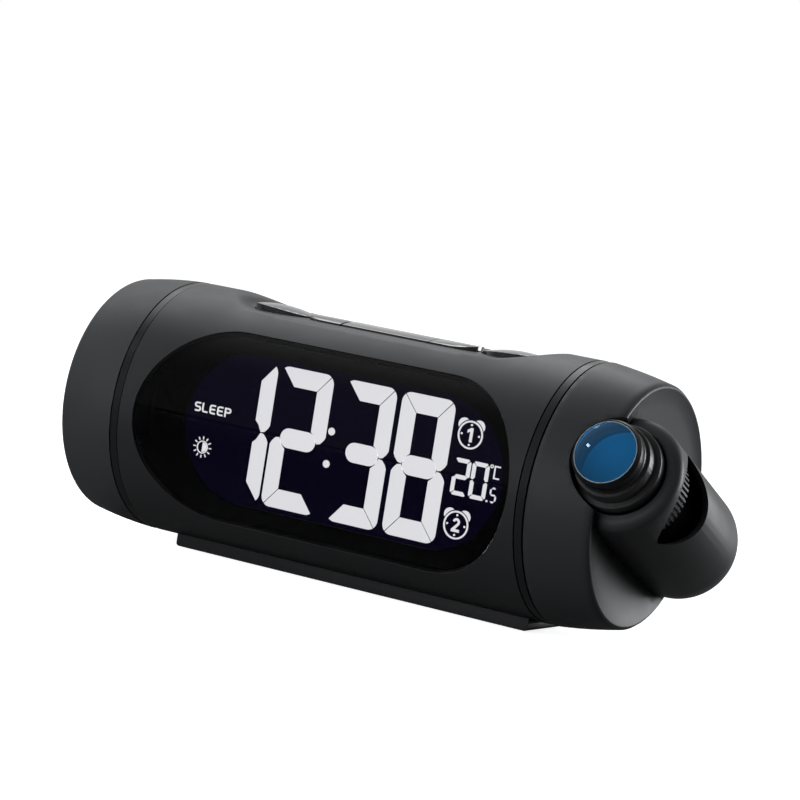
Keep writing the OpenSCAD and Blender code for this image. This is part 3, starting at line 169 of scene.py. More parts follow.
def plastic(name, color, rough, specular=0.3, vary=0.1, bump=0.12, grain=2600.0, coat=0.0, metal=0.0):
    """Moulded or painted surface: tint and roughness drift over some centimetres, and a
    grain of 1 / grain metres gives the bump. color is linear."""
    material, add, join = node_tree(name)
    where = add("ShaderNodeTexCoord")
    drift = add("ShaderNodeTexNoise", {"Scale": 55.0, "Detail": 5.0, "Roughness": 0.6})
    fine = add("ShaderNodeTexNoise", {"Scale": grain, "Detail": 2.0})
    tint = add("ShaderNodeMix", data_type="RGBA")
    for socket, side in ((tint.inputs[6], 1 - vary), (tint.inputs[7], 1 + vary)):
        socket.default_value = (*[c * side for c in color], 1)
    level = add("ShaderNodeMapRange", {"From Min": 0.3, "From Max": 0.7,
                                       "To Min": max(rough - 0.05, 0.02), "To Max": rough + 0.05})
    height = add("ShaderNodeBump", {"Strength": bump, "Distance": 0.00008})
    shader = add("ShaderNodeBsdfPrincipled", {"Specular IOR Level": specular, "Coat Weight": coat,
                                              "Coat Roughness": 0.08, "Metallic": metal})
    out = add("ShaderNodeOutputMaterial")
    join(where.outputs["Object"], drift.inputs["Vector"])
    join(where.outputs["Object"], fine.inputs["Vector"])
    join(drift.outputs["Fac"], tint.inputs["Factor"])
    join(drift.outputs["Fac"], level.inputs["Value"])
    join(fine.outputs["Fac"], height.inputs["Height"])
    join(tint.outputs[2], shader.inputs["Base Color"])
    join(level.outputs["Result"], shader.inputs["Roughness"])
    join(height.outputs["Normal"], shader.inputs["Normal"])
    join(shader.outputs[0], out.inputs["Surface"])
    return material


def finish(material, *names):
    """Gives CAD nodes their material."""
    for name in names:
        mesh_slots = nodes[name].material_slots
        for mesh_slot in mesh_slots:
            mesh_slot.material = material
        if not mesh_slots:
            nodes[name].data.materials.append(material)


body_plastic = plastic("body_plastic", (0.014, 0.0142, 0.0146), 0.42, specular=0.28, bump=0.15)
rear_plastic = plastic("rear_plastic", (0.017, 0.0173, 0.0177), 0.5, specular=0.3, bump=0.25)
finish(rear_plastic, "rear_cover")

weld = 2e-6         # metres: points closer than this are one
flat_angle = 0.5    # degrees: faces that turn by less than this are one
soft_angle = 38.0   # degrees: edges of CAD nodes sharper than this are rounded


def soft_edges(piece, width, angle, segments=2):
    """Rounds every edge sharper than angle degrees to width (metres)."""
    bevel = piece.modifiers.new("soft_edges", "BEVEL")
    bevel.width = width
    bevel.segments = segments
    bevel.limit_method = "ANGLE"
    bevel.angle_limit = math.radians(angle)
    bevel.harden_normals = True


def softened(name, new_name, body, material, width, segments=2):
    """A copy of a CAD node, its loose triangles merged into faces, with its sharp edges
    rounded to width (metres). It stands for the node."""
    mesh = nodes[name].data.copy()
    mesh.name = new_name
    mesh.transform(nodes[name].matrix_world)
    work = bmesh.new()
    work.from_mesh(mesh)
    bmesh.ops.remove_doubles(work, verts=work.verts, dist=weld)
    bmesh.ops.dissolve_limit(work, angle_limit=math.radians(flat_angle), verts=work.verts, edges=work.edges)
    work.to_mesh(mesh)
    work.free()
    mesh.materials.clear()
    mesh.materials.append(material)
    mesh.shade_smooth()
    piece = bpy.data.objects.new(new_name, mesh)
    bpy.context.scene.collection.objects.link(piece)
    soft_edges(piece, width, soft_angle, segments)
    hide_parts(name)
    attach(piece, body)
    return piece


def smooth_min(a, b, k):
    """The lower of a and b, blended over k: min(a, b) - h^2 k / 4 with h = max(k - |a - b|, 0) / k."""
    h = np.maximum(k - np.abs(a - b), 0) / k
    return np.minimum(a, b) - h * h * k / 4


# Sizes of the housing in mm, with heights over the barrel's axis
barrel_r, barrel_half = 40.0, 70.0
axis_mm = 42.8                                    # the axis over the table
window_half = 29.5                                # half the window's height
window_left, window_right = -35.5, 37.5           # where the window's round ends begin
window_y = 27.0139                                # the depth at which the window's edge meets the barrel
parting_y, parting_angle = 20.0, 150.0            # the rear cover begins here, above and (degrees) below
deck_high, deck_mid, deck_r = 35.5, 33.0, 18.46   # the sunk deck, its ends' middles and their radius
deck_foot = 2.4                                   # rounding where the deck's wall rises
rim_round, rim_more = 0.9, 2.6                    # rounding of the deck's rim, and what its ends add
rim_from, rim_run = 38.0, 8.0
hole_r, bar_mid, bar_tip = 7.8, 22.5, 30.3        # the bar's hole
oval_mid, oval_half, oval_near, oval_far = 41.0, 10.1, 30.9, 51.1


def shell_height(x, y):
    """Height over the axis (mm) of the shell's top: the barrel sqrt(R^2 - y^2), cut by a flat
    deck whose round ends, about (+-deck_mid, 0), rise one to one from deck_r out."""
    out = np.hypot(np.maximum(np.abs(x) - deck_mid, 0), y) - deck_r
    # Between its ends the deck is level, so any depth inside does
    out = np.where(np.abs(x) > deck_mid, out, -9.0)
    wall = deck_high - smooth_min(-out, np.zeros_like(out), deck_foot)
    ease = np.clip((np.abs(x) - rim_from) / rim_run, 0, 1)
    rounding = rim_round + rim_more * ease * ease * (3 - 2 * ease)
    return smooth_min(np.sqrt(barrel_r ** 2 - y * y), wall, rounding)


def hole_half(x):
    """Half the depth (mm) of the key holes at x: a bar with round ends, and two ovals."""
    past = np.abs(x) - bar_mid
    bar = np.where(past < 0, hole_r, np.sqrt(np.maximum(hole_r ** 2 - past ** 2, 0)))
    oval = hole_r * np.sqrt(np.maximum(1 - ((np.abs(x) - oval_mid) / oval_half) ** 2, 0))
    return np.maximum(bar * (np.abs(x) <= bar_tip), oval)


def housing_surface():
    """Points and faces of the outer skin: a sheet over the top from the rear parting to the
    window's upper edge, whose height is shell_height, and two sheets on the barrel's circle
    y^2 + z^2 = R^2, at the ends of the window band and under the barrel."""
    points, faces = [], []

    def sheet(px, py, pz):
        """Adds a grid of points (mm) and its faces."""
        first, (rows, cols) = sum(len(p) for p in points), px.shape
        points.append(np.stack([px, py, pz], 2).reshape(-1, 3))
        i = first + (np.arange(rows - 1)[:, None] * cols + np.arange(cols - 1)[None]).reshape(-1)
        faces.append(np.stack([i, i + cols, i + cols + 1, i + 1], 1))

    # Columns: close together at the holes' tips and over the ends of the deck
    tips = np.concatenate([c + s * (1 - np.cos(np.linspace(0, math.pi / 2, 9))) * 3.0
                           for c, s in ((bar_tip, -1), (oval_near, 1), (oval_far, -1))])
    right = np.unique(np.round(np.concatenate([
        np.linspace(0, 27, 19), tips, np.linspace(34, 48, 19), np.linspace(oval_far, 62, 24),
        np.linspace(62, barrel_half, 6)]), 4))
    cols = np.unique(np.concatenate([-right, right, [window_left, window_right]]))
    inner = hole_half(cols)
    ease = np.concatenate([np.linspace(0, 0.62, 20), np.linspace(0.62, 1, 24)[1:]])
    for edge, side in ((window_y, -1), (parting_y, 1)):
        t = np.concatenate([np.linspace(0, 0.85, 38), np.linspace(0.85, 1, 8)[1:]]) if side > 0 else ease
        y = inner[None] + (edge - inner[None]) * t[:, None]
        x = np.broadcast_to(cols[None], y.shape)
        z = shell_height(x, y)
        order = slice(None) if side < 0 else slice(None, None, -1)
        sheet(x[order], side * y[order], z[order])
    # Ends of the window band, whose inner edge is the window's round end
    z = window_half * np.sin(np.radians(np.linspace(90, -90, 61)))
    reach = np.sqrt(np.maximum(window_half ** 2 - z * z, 0))
    for side, flat_end, columns in ((-1, window_left, cols[cols <= window_left]),
                                    (1, window_right, cols[cols >= window_right])):
        far = side * barrel_half
        share = (columns - flat_end) / (far - flat_end)
        edge = flat_end + side * reach
        x = edge[:, None] + (far - edge[:, None]) * share[None]
        zz = np.broadcast_to(z[:, None], x.shape)
        sheet(x, -np.sqrt(barrel_r ** 2 - zz * zz), zz)
    # Under the barrel, from the window's lower edge round to the rear parting
    start = math.degrees(math.asin(window_half / barrel_r))
    around = np.radians(np.linspace(start, parting_angle, 60))[:, None]
    x = np.broadcast_to(cols[None], (len(around), len(cols)))
    sheet(x, np.broadcast_to(-barrel_r * np.cos(around), x.shape),
          np.broadcast_to(-barrel_r * np.sin(around), x.shape))
    return np.concatenate(points), np.concatenate(faces)


def rods(ends, radius, sides=24):
    """Points and faces of closed round rods between pairs of places (mm): each rim is its place
    plus r (cos a u + sin a v), with u and v square to the rod and to each other."""
    points, faces = [], []
    a = np.linspace(0, 2 * math.pi, sides, endpoint=False)
    for n, (p, q) in enumerate(ends):
        p, q = np.asarray(p, float), np.asarray(q, float)
        along = (q - p) / np.linalg.norm(q - p)
        u = np.cross(along, (0, 0, 1) if abs(along[2]) < 0.9 else (1, 0, 0))
        u /= np.linalg.norm(u)
        v = np.cross(along, u)
        rim = radius * (np.cos(a)[:, None] * u + np.sin(a)[:, None] * v)
        points += [p + rim, q + rim]
        i, first = np.arange(sides), 2 * sides * n
        j = (i + 1) % sides
        faces += np.stack([first + i, first + j, first + sides + j, first + sides + i], 1).tolist()
        faces += [(first + i[::-1]).tolist(), (first + sides + i).tolist()]
    return np.concatenate(points), faces


points, faces = housing_surface()
points[:, 2] += axis_mm
front_housing = mesh_piece("front_housing", points / 1000, faces, body_plastic)
work = bmesh.new()
work.from_mesh(front_housing.data)
bmesh.ops.remove_doubles(work, verts=work.verts, dist=weld)
bmesh.ops.dissolve_degenerate(work, edges=work.edges, dist=weld / 2)
work.to_mesh(front_housing.data)
work.free()
front_housing.data.shade_smooth()
wall = front_housing.modifiers.new("wall", "SOLIDIFY")
wall.thickness = 0.0022
wall.offset = -1.0
wall.use_even_offset = True
soft_edges(front_housing, 0.0003, 42.0)
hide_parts("front_shell")
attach(front_housing, "clock")

# Bosses and posts inside the shell (mm, each from one end to the other), on which the end plates,
# the cover, the foot and the key board are screwed
boss_r, post_r = 3.0, 2.4
plate_bosses = [((s * 61, y, axis_mm + z), (s * 69, y, axis_mm + z)) for s in (-1, 1)
                for y, z in ((0, 33), (0, -33), (16, 28), (16, -28))]
cover_bosses = [((x, 8, axis_mm + z), (x, 20, axis_mm + z)) for x in (-52, 52) for z in (-30, 30)]
board_posts = [((x, y, 68.4), (x, y, 76.6)) for x in (-22, 22) for y in (-11.5, 11.5)]
foot_bosses = [((x, 0, 3.8), (x, 0, 12.8)) for x in (-37.9, 43.1)]
wide_points, wide_faces = rods(plate_bosses + cover_bosses + foot_bosses, boss_r)
thin_points, thin_faces = rods(board_posts, post_r)
points = np.concatenate([wide_points, thin_points]) / 1000
faces = list(wide_faces) + [[i + len(wide_points) for i in face] for face in thin_faces]
shell_bosses = mesh_piece("shell_bosses", points, faces, body_plastic, smooth=False)
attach(shell_bosses, "clock")

# ---------------------------------------------------------------------------
# Display: black bezel plate, liquid-crystal panel and light guide in a moulded
# frame, with the lit figures as thin segments on the panel's face.
display_y, segment_t = -0.0242, 0.0002    # metres: the panel's face, and the segments' thickness


def arc(cx, cz, r, a0, a1, count=6):
    """Points c + r (cos a, sin a) on an arc about c = (cx, cz), from a0 to a1 degrees."""
    a = np.radians(np.linspace(a0, a1, count))
    return np.stack([cx + r * np.cos(a), cz + r * np.sin(a)], 1).tolist()


def box(x0, x1, z0, z1):
    """Outline of an upright rectangle."""
    return [(x0, z0), (x1, z0), (x1, z1), (x0, z1)]


def pill(x0, x1, z0, z1):
    """Outline of a level bar with round ends."""
    r, cz = (z1 - z0) / 2, (z0 + z1) / 2
    return arc(x1 - r, cz, r, -90, 90, 13) + arc(x0 + r, cz, r, 90, 270, 13)


def ring(cx, cz, r1, r0, count=32):
    """Outlines of the pieces that make up a ring, each a few degrees wide."""
    a = np.linspace(0, 360, count + 1)
    return [arc(cx, cz, r1, a[i], a[i + 1], 2) + arc(cx, cz, r0, a[i + 1], a[i], 2) for i in range(count)]


def large_digit(x0, x1, lit):
    """Outlines of the lit segments, a to g, of a digit from x0 to x1 (mm), with mitred joints."""
    top, r = 21.4, 3.1
    level = (arc(x1 - r, top - r, r, 52, 90, 5) + arc(x0 + r, top - r, r, 90, 128, 5)
             + [(x0 + 5.5, top - 5.7), (x1 - 5.5, top - 5.7)])
    upright = (arc(x1 - r, top - r, r, 0, 46, 6)[::-1] + [(x1, 2.6), (x1 - 0.6, 1.5), (x1 - 1.7, 0.35),
               (x1 - 2.9, 0.12), (x1 - 3.3, 0.85), (x1 - 4.1, 2.3), (x1 - 5.3, 3.4), (x1 - 5.3, top - 5.9)])
    mirrored = lambda outline: [(x0 + x1 - x, z) for x, z in outline][::-1]
    below = lambda outline: [(x, -z) for x, z in outline][::-1]
    parts = {"a": level, "b": upright[::-1], "c": below(upright[::-1]), "d": below(level),
             "e": below(mirrored(upright[::-1])), "f": mirrored(upright[::-1]),
             "g": pill(x0 + 3.3, x1 - 3.3, -2.9, 3.1)}
    return [parts[s] for s in lit]


def cut_digit(x0, x1, z0, z1, t, lit):
    """Outlines of the lit segments of a middle-sized digit, t wide, with slanting cuts g wide
    between them and corners cut by c."""
    zm, g, c, top = (z0 + z1) / 2, 0.12, 0.45, z1
    level = [(x0 + t + g, top - t), (x1 - t - g, top - t), (x1 - c - g, top - 0.3), (x1 - c - 0.5, top),
             (x0 + c + 0.5, top), (x0 + c + g, top - 0.3)]
    upright = [(x1 - t, top - t - g), (x1 - t, zm + t / 2 + g), (x1 - t / 2, zm + g), (x1, zm + 0.4),
               (x1, top - c - 0.5), (x1 - 0.3, top - c - g)]
    across = lambda outline: [(x0 + x1 - x, z) for x, z in outline]
    down = lambda outline: [(x, 2 * zm - z) for x, z in outline]
    middle = [(x0 + t + g, zm - t / 2), (x1 - t - g, zm - t / 2), (x1 - t / 2 - g, zm),
              (x1 - t - g, zm + t / 2), (x0 + t + g, zm + t / 2), (x0 + t / 2 + g, zm)]
    parts = {"a": level, "b": upright, "c": down(upright), "d": down(level), "e": down(across(upright)),
             "f": across(upright), "g": middle}
    return [parts[s] for s in lit]


def spoke(cx, cz, angle, r0, r1, w):
    """Outline of a bar w wide that points away from (cx, cz), from r0 to r1."""
    c, s = math.cos(math.radians(angle)), math.sin(math.radians(angle))
    return [(cx + r * c - side * w / 2 * s, cz + r * s + side * w / 2 * c)
            for r, side in ((r0, -1), (r1, -1), (r1, 1), (r0, 1))]


def alarm_sign(cx, cz, number):
    """Outlines of an alarm clock: its face with four marks and a number, under two bells."""
    face_r, face_inner, mark_reach, mark_r = 4.2, 3.7, 2.95, 0.32
    outlines = ring(cx, cz, face_r, face_inner)
    # Each bell is a disc of radius r about a point reach away, less the disc of radius gap
    reach, r, gap = 3.75, 1.95, 4.55
    half = math.degrees(math.acos((reach ** 2 + gap ** 2 - r ** 2) / (2 * reach * gap)))
    far = math.degrees(math.acos((gap * math.cos(math.radians(half)) - reach) / r))
    for middle in (48, 132):
        bx, bz = cx + reach * math.cos(math.radians(middle)), cz + reach * math.sin(math.radians(middle))
        outlines.append(arc(bx, bz, r, middle - far, middle + far, 14)
                        + arc(cx, cz, gap, middle + half, middle - half, 10))
    outlines += [[(cx + mark_reach * math.cos(a) + x, cz + mark_reach * math.sin(a) + z)
                  for x, z in arc(0, 0, mark_r, 0, 330, 12)] for a in np.radians((0, 90, 180, 270))]
    if number == 1:
        return outlines + [[(cx - 0.15, cz - 2.1), (cx + 0.75, cz - 2.1), (cx + 0.75, cz + 2.1),
                            (cx + 0.05, cz + 2.1), (cx - 1.1, cz + 1.35), (cx - 1.1, cz + 0.5),
                            (cx - 0.15, cz + 1.0)]]
    bowl = arc(cx + 0.05, cz + 0.85, 1.2, -40, 170, 16)
    hollow = arc(cx + 0.05, cz + 0.85, 0.5, 170, -35, 12)
    stem = [(cx - 0.1, cz - 1.25), (cx + 1.35, cz - 1.25), (cx + 1.35, cz - 2.05), (cx - 1.35, cz - 2.05),
            (cx - 1.35, cz - 1.35)]
    return outlines + [bowl + hollow + stem[::-1]]


def stroke(path, t):
    """Outline of a line of width t along a path of points, mitred at its corners: its edges lie
    t (m + n) / |m + n|^2 from each point, with m and n square to the steps before and after."""
    p = np.asarray(path, float)
    step = np.diff(p, axis=0)
    step /= np.linalg.norm(step, axis=1)[:, None]
    side = np.stack([-step[:, 1], step[:, 0]], 1)
    before, after = np.vstack([side[:1], side]), np.vstack([side, side[-1:]])
    mitre = before + after
    mitre *= (t / np.sum(mitre * mitre, 1))[:, None]
    return (p + mitre).tolist() + (p - mitre)[::-1].tolist()


def letters(word, x0, z0, w, h, pitch, t):
    """Outlines of rounded capitals, w wide, h high and pitch apart, each drawn with a line of
    width t from (x0, z0) on."""
    outlines = []
    for i, letter in enumerate(word):
        a, b, lo, hi = x0 + i * pitch + t / 2, x0 + i * pitch + w - t / 2, z0 + t / 2, z0 + h - t / 2
        zm, r = z0 + h / 2, (h - t) / 4
        if letter == "S":
            outlines.append(stroke([(b, hi)] + arc(a + r, zm + r, r, 90, 270, 8)
                                   + arc(b - r, zm - r, r, 90, -90, 8) + [(a, lo)], t))
        if letter == "L":
            outlines.append(stroke([(a, hi + t / 2)] + arc(a + r, lo + r, r, 180, 270, 6) + [(b, lo)], t))
        if letter == "E":
            outlines.append(stroke([(b, hi)] + arc(a + r, hi - r, r, 90, 180, 6)
                                   + arc(a + r, lo + r, r, 180, 270, 6) + [(b, lo)], t))
            outlines.append(box(a + t / 2 + 0.02, b - 0.1, zm - t / 2, zm + t / 2))
        if letter == "P":
            outlines.append(stroke([(a, lo - t / 2), (a, hi), (b - r, hi)]
                                   + arc(b - r, zm + r, r, 80, -90, 8) + [(a + t / 2 + 0.02, zm)], t))
    return outlines


def slabs(name, outlines, y_front, thick, material):
    """Thin solids from upright outlines in mm, with heights over the barrel's axis: each has its
    front face at y_front and is thick deep (metres)."""
    points, faces = [], []
    for outline in outlines:
        flat = np.asarray(outline, float)
        turn = np.sum(flat[:, 0] * np.roll(flat[:, 1], -1) - flat[:, 1] * np.roll(flat[:, 0], -1))
        flat = flat if turn > 0 else flat[::-1]
        n, first = len(flat), len(points)
        for y in (y_front, y_front + thick):
            points += [(x / 1000, y, (axis_mm + z) / 1000) for x, z in flat]
        faces.append([first + i for i in range(n)])
        faces.append([first + n + i for i in reversed(range(n))])
        faces += [[first + i, first + n + i, first + n + (i + 1) % n, first + (i + 1) % n] for i in range(n)]
    return mesh_piece(name, points, faces, material, smooth=False)


lit_segments, add, join = node_tree("lit_segments")
where = add("ShaderNodeTexCoord")
cloud = add("ShaderNodeTexNoise", {"Scale": 45.0, "Detail": 2.0})
glow = add("ShaderNodeMix", data_type="RGBA")
glow.inputs[6].default_value = (0.96, 0.96, 0.95, 1)
glow.inputs[7].default_value = (1.0, 1.0, 1.0, 1)
shader = add("ShaderNodeBsdfPrincipled", {"Base Color": (0.8, 0.8, 0.8, 1), "Roughness": 0.5,
                                          "Emission Strength": 1.75})
out = add("ShaderNodeOutputMaterial")
join(where.outputs["Object"], cloud.inputs["Vector"])
join(cloud.outputs["Fac"], glow.inputs["Factor"])
join(glow.outputs[2], shader.inputs["Emission Color"])
join(shader.outputs[0], out.inputs["Surface"])

# The time and its two dots, the degrees with their half and C, the two alarm signs, SLEEP and the sun
figures = (large_digit(-43.0, -24.7, "bc") + large_digit(-23.7, -4.6, "abged")
           + large_digit(-0.2, 17.7, "abgcd") + large_digit(19.6, 37.9, "abcdefg"))
figures += [[(cx + x, cz + z) for x, z in arc(0, 0, 1.2, 45, 405, 9)[:-1]]
            for cx, cz in ((-2.8, 4.9), (-2.9, -5.0))]
figures += cut_digit(40.3, 46.0, -5.6, 5.4, 1.25, "abged") + cut_digit(46.5, 52.2, -5.6, 5.4, 1.25, "abcdef")
figures += cut_digit(53.5, 55.8, -5.6, -1.0, 0.5, "afgcd") + [box(52.6, 53.15, -5.6, -5.05)]
figures += ring(52.9, 5.0, 0.55, 0.28, count=16)
figures += [stroke([(55.8, 5.15), (54.0, 5.15), (54.0, 1.65), (55.8, 1.65)], 0.42)]
figures += alarm_sign(44.1, 12.6, 1) + alarm_sign(44.1, -14.2, 2)
figures += letters("SLEEP", -52.7, 2.25, 2.35, 2.9, 2.78, 0.5)
sun = (-47.7, -8.3)
figures += ring(*sun, 2.0, 1.68) + [arc(*sun, 1.5, -90, 90, 15)]
figures += [spoke(*sun, a, 2.4, 3.3, 0.33) for a in range(0, 360, 30)]
lit_figures = slabs("lit_figures", figures, display_y - segment_t, segment_t, lit_segments)
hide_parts("display_digits")
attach(lit_figures, "clock")

# The panel is near black with a violet cast where its light shines through
lcd_glass, add, join = node_tree("lcd_glass")
where = add("ShaderNodeTexCoord")
cloud = add("ShaderNodeTexNoise", {"Scale": 30.0, "Detail": 2.0})
tint = add("ShaderNodeMix", data_type="RGBA")
tint.inputs[6].default_value = (0.0022, 0.0012, 0.011, 1)
tint.inputs[7].default_value = (0.0034, 0.0018, 0.016, 1)
shader = add("ShaderNodeBsdfPrincipled", {"Roughness": 0.12, "Specular IOR Level": 0.1,
                                          "Emission Strength": 1.0})
out = add("ShaderNodeOutputMaterial")
join(where.outputs["Object"], cloud.inputs["Vector"])
join(cloud.outputs["Fac"], tint.inputs["Factor"])
join(tint.outputs[2], shader.inputs["Base Color"])
join(tint.outputs[2], shader.inputs["Emission Color"])
join(shader.outputs[0], out.inputs["Surface"])
bezel_black = plastic("bezel_black", (0.009, 0.009, 0.0095), 0.3, specular=0.15, bump=0.05)
light_acrylic = plastic("light_acrylic", (0.72, 0.76, 0.78), 0.25, specular=0.5, vary=0.03, bump=0.05)
inner_plastic = plastic("inner_plastic", (0.022, 0.022, 0.024), 0.5, bump=0.2)
finish(lcd_glass, "display_panel")
finish(bezel_black, "display_bezel")
finish(light_acrylic, "light_guide")
finish(inner_plastic, "display_frame")

# ---------------------------------------------------------------------------
# Front window: a smoked acrylic sheet bent to the barrel, polished outside, set
# a little below the shell's surface.
window_acrylic, add, join = node_tree("window_acrylic")
where = add("ShaderNodeTexCoord")
smear = add("ShaderNodeTexNoise", {"Scale": 40.0, "Detail": 6.0, "Roughness": 0.7})
level = add("ShaderNodeMapRange", {"From Min": 0.35, "From Max": 0.75, "To Min": 0.0, "To Max": 0.05})
wave = add("ShaderNodeTexNoise", {"Scale": 90.0, "Detail": 1.0})
height = add("ShaderNodeBump", {"Strength": 0.02, "Distance": 0.0001})
shader = add("ShaderNodeBsdfPrincipled", {"Base Color": (0.43, 0.43, 0.45, 1), "Transmission Weight": 1.0,
                                          "IOR": 1.3, "Specular IOR Level": 0.5})
out = add("ShaderNodeOutputMaterial")
join(where.outputs["Object"], smear.inputs["Vector"])
join(where.outputs["Object"], wave.inputs["Vector"])
join(smear.outputs["Fac"], level.inputs["Value"])
join(level.outputs["Result"], shader.inputs["Roughness"])
join(wave.outputs["Fac"], height.inputs["Height"])
join(height.outputs["Normal"], shader.inputs["Normal"])
join(shader.outputs[0], out.inputs["Surface"])
finish(window_acrylic, "front_window")

# ---------------------------------------------------------------------------
# Electronics: four glass-fibre boards on steel spacers and plastic posts, with
# a tinned tuner can, capacitors and five key switches soldered on.


def circuit_board(name, color, trace):
    """Board with solder mask: copper lines show through as a paler net."""
    material, add, join = node_tree(name)
    where = add("ShaderNodeTexCoord")
    lines = add("ShaderNodeTexVoronoi", {"Scale": 420.0}, feature="DISTANCE_TO_EDGE")
    edge = add("ShaderNodeMapRange", {"From Min": 0.06, "From Max": 0.09})
    tint = add("ShaderNodeMix", data_type="RGBA")
    tint.inputs[6].default_value = (*trace, 1)
    tint.inputs[7].default_value = (*color, 1)
    height = add("ShaderNodeBump", {"Strength": 0.2, "Distance": 0.00005})
    shader = add("ShaderNodeBsdfPrincipled", {"Roughness": 0.32})
    out = add("ShaderNodeOutputMaterial")
    join(where.outputs["Object"], lines.inputs["Vector"])
    join(lines.outputs["Distance"], edge.inputs["Value"])
    join(edge.outputs["Result"], tint.inputs["Factor"])
    join(edge.outputs["Result"], height.inputs["Height"])
    join(tint.outputs[2], shader.inputs["Base Color"])
    join(height.outputs["Normal"], shader.inputs["Normal"])
    join(shader.outputs[0], out.inputs["Surface"])
    return material


board_green = circuit_board("circuit_board", (0.012, 0.09, 0.03), (0.03, 0.16, 0.06))
screw_steel = plastic("screw_steel", (0.42, 0.43, 0.45), 0.3, specular=0.5, bump=0.1, grain=5000.0,
                      metal=1.0)
tin_plate = plastic("tin_plate", (0.52, 0.54, 0.56), 0.28, specular=0.5, bump=0.08, grain=900.0,
                    metal=1.0)
capacitor_sleeve = plastic("capacitor_sleeve", (0.012, 0.016, 0.026), 0.3, specular=0.5)
switch_plastic = plastic("switch_plastic", (0.02, 0.02, 0.022), 0.45)
finish(board_green, "display_board", "main_board", "button_board", "led_board")
finish(screw_steel, "board_spacers", "board_screws", "speaker_screws", "bulkhead_screws", "cap_screws",
       "head_screws", "foot_screws", "cover_screws")
finish(tin_plate, "tuner_can")
finish(capacitor_sleeve, "capacitors")
finish(switch_plastic, "button_switches")

# ---------------------------------------------------------------------------
# Keys: a bar of three and two ovals in gloss black plastic, guided by the holes
# of the deck and pushed up by their switches.
key_plastic = plastic("key_plastic", (0.012, 0.012, 0.013), 0.14, specular=0.5, vary=0.06, bump=0.02,
                      grain=800.0, coat=0.6)
for name, new_name, body in (("snooze_bar", "snooze_key", "snooze"),
                             ("bar_key_left", "left_bar_key", "bar_left"),
                             ("bar_key_right", "right_bar_key", "bar_right"),
                             ("oval_key_left", "left_oval_key", "oval_left"),
                             ("oval_key_right", "right_oval_key", "oval_right")):
    softened(name, new_name, body, key_plastic, 0.00045, segments=3)

# ---------------------------------------------------------------------------
# Trim rings: gloss black hoops, moulded in plastic and held between the body
# and its two ends.
ring_gloss = plastic("ring_gloss", (0.008, 0.008, 0.0085), 0.3, specular=0.25, vary=0.05, bump=0.02,
                     grain=800.0)
finish(ring_gloss, "left_trim_ring", "right_trim_ring")

# ---------------------------------------------------------------------------
# Left end: slotted cap in grained plastic, screwed to a bulkhead that carries
# the speaker.
cap_plastic = plastic("cap_plastic", (0.022, 0.0224, 0.023), 0.48, specular=0.28, bump=0.22)
speaker_steel = plastic("speaker_steel", (0.2, 0.21, 0.23), 0.35, specular=0.5, metal=0.9)
ferrite = plastic("ferrite", (0.04, 0.042, 0.046), 0.55, bump=0.4)

cone_paper, add, join = node_tree("cone_paper")
where = add("ShaderNodeTexCoord")
fibre = add("ShaderNodeTexNoise", {"Scale": 700.0, "Detail": 6.0, "Distortion": 1.5})
height = add("ShaderNodeBump", {"Strength": 0.5, "Distance": 0.0001})
tint = add("ShaderNodeMix", data_type="RGBA")
tint.inputs[6].default_value = (0.007, 0.007, 0.007, 1)
tint.inputs[7].default_value = (0.018, 0.018, 0.019, 1)
shader = add("ShaderNodeBsdfPrincipled", {"Roughness": 0.85, "Specular IOR Level": 0.2})
out = add("ShaderNodeOutputMaterial")
join(where.outputs["Object"], fibre.inputs["Vector"])
join(fibre.outputs["Fac"], height.inputs["Height"])
join(fibre.outputs["Fac"], tint.inputs["Factor"])
join(tint.outputs[2], shader.inputs["Base Color"])
join(height.outputs["Normal"], shader.inputs["Normal"])
join(shader.outputs[0], out.inputs["Surface"])
finish(cap_plastic, "left_end_cap")
finish(inner_plastic, "left_bulkhead", "bearing_plate", "swivel_plate", "cell_holder", "optics_tube")
finish(speaker_steel, "speaker_frame")
finish(cone_paper, "speaker_cone")
finish(ferrite, "speaker_magnet")

# ---------------------------------------------------------------------------
# Swivel: an acetal bush pressed into the bearing plate, and the washer and clip
# of spring steel that hold the hub in it.
acetal = plastic("acetal", (0.68, 0.66, 0.6), 0.4, specular=0.5, vary=0.04, bump=0.05)
spring_steel = plastic("spring_steel", (0.36, 0.37, 0.39), 0.25, specular=0.5, metal=1.0)
finish(acetal, "swivel_bush")
finish(spring_steel, "spring_washer", "retaining_clip")

# ---------------------------------------------------------------------------
# Projector end: dished cap and the tilted head, in the same grained plastic as
# the body, which turn together on the swivel.
projector_plastic = plastic("projector_plastic", (0.019, 0.0194, 0.0202), 0.45, specular=0.32, bump=0.2)
softened("projector_cap", "projector_end_cap", "projector", projector_plastic, 0.0003)
softened("head_shell", "projector_head", "projector", projector_plastic, 0.0007,
         segments=3)


def glassy(name, color, rough=0.02, **more):
    """Clear or tinted moulded glass with faint flow marks."""
    material, add, join = node_tree(name)
    where = add("ShaderNodeTexCoord")
    flow = add("ShaderNodeTexNoise", {"Scale": 120.0, "Detail": 2.0})
    height = add("ShaderNodeBump", {"Strength": 0.03, "Distance": 0.0001})
    shader = add("ShaderNodeBsdfPrincipled", {"Base Color": (*color, 1), "Transmission Weight": 1.0,
                                              "Roughness": rough, "IOR": 1.5, **more})
    out = add("ShaderNodeOutputMaterial")
    join(where.outputs["Object"], flow.inputs["Vector"])
    join(flow.outputs["Fac"], height.inputs["Height"])
    join(height.outputs["Normal"], shader.inputs["Normal"])
    join(shader.outputs[0], out.inputs["Surface"])
    return material


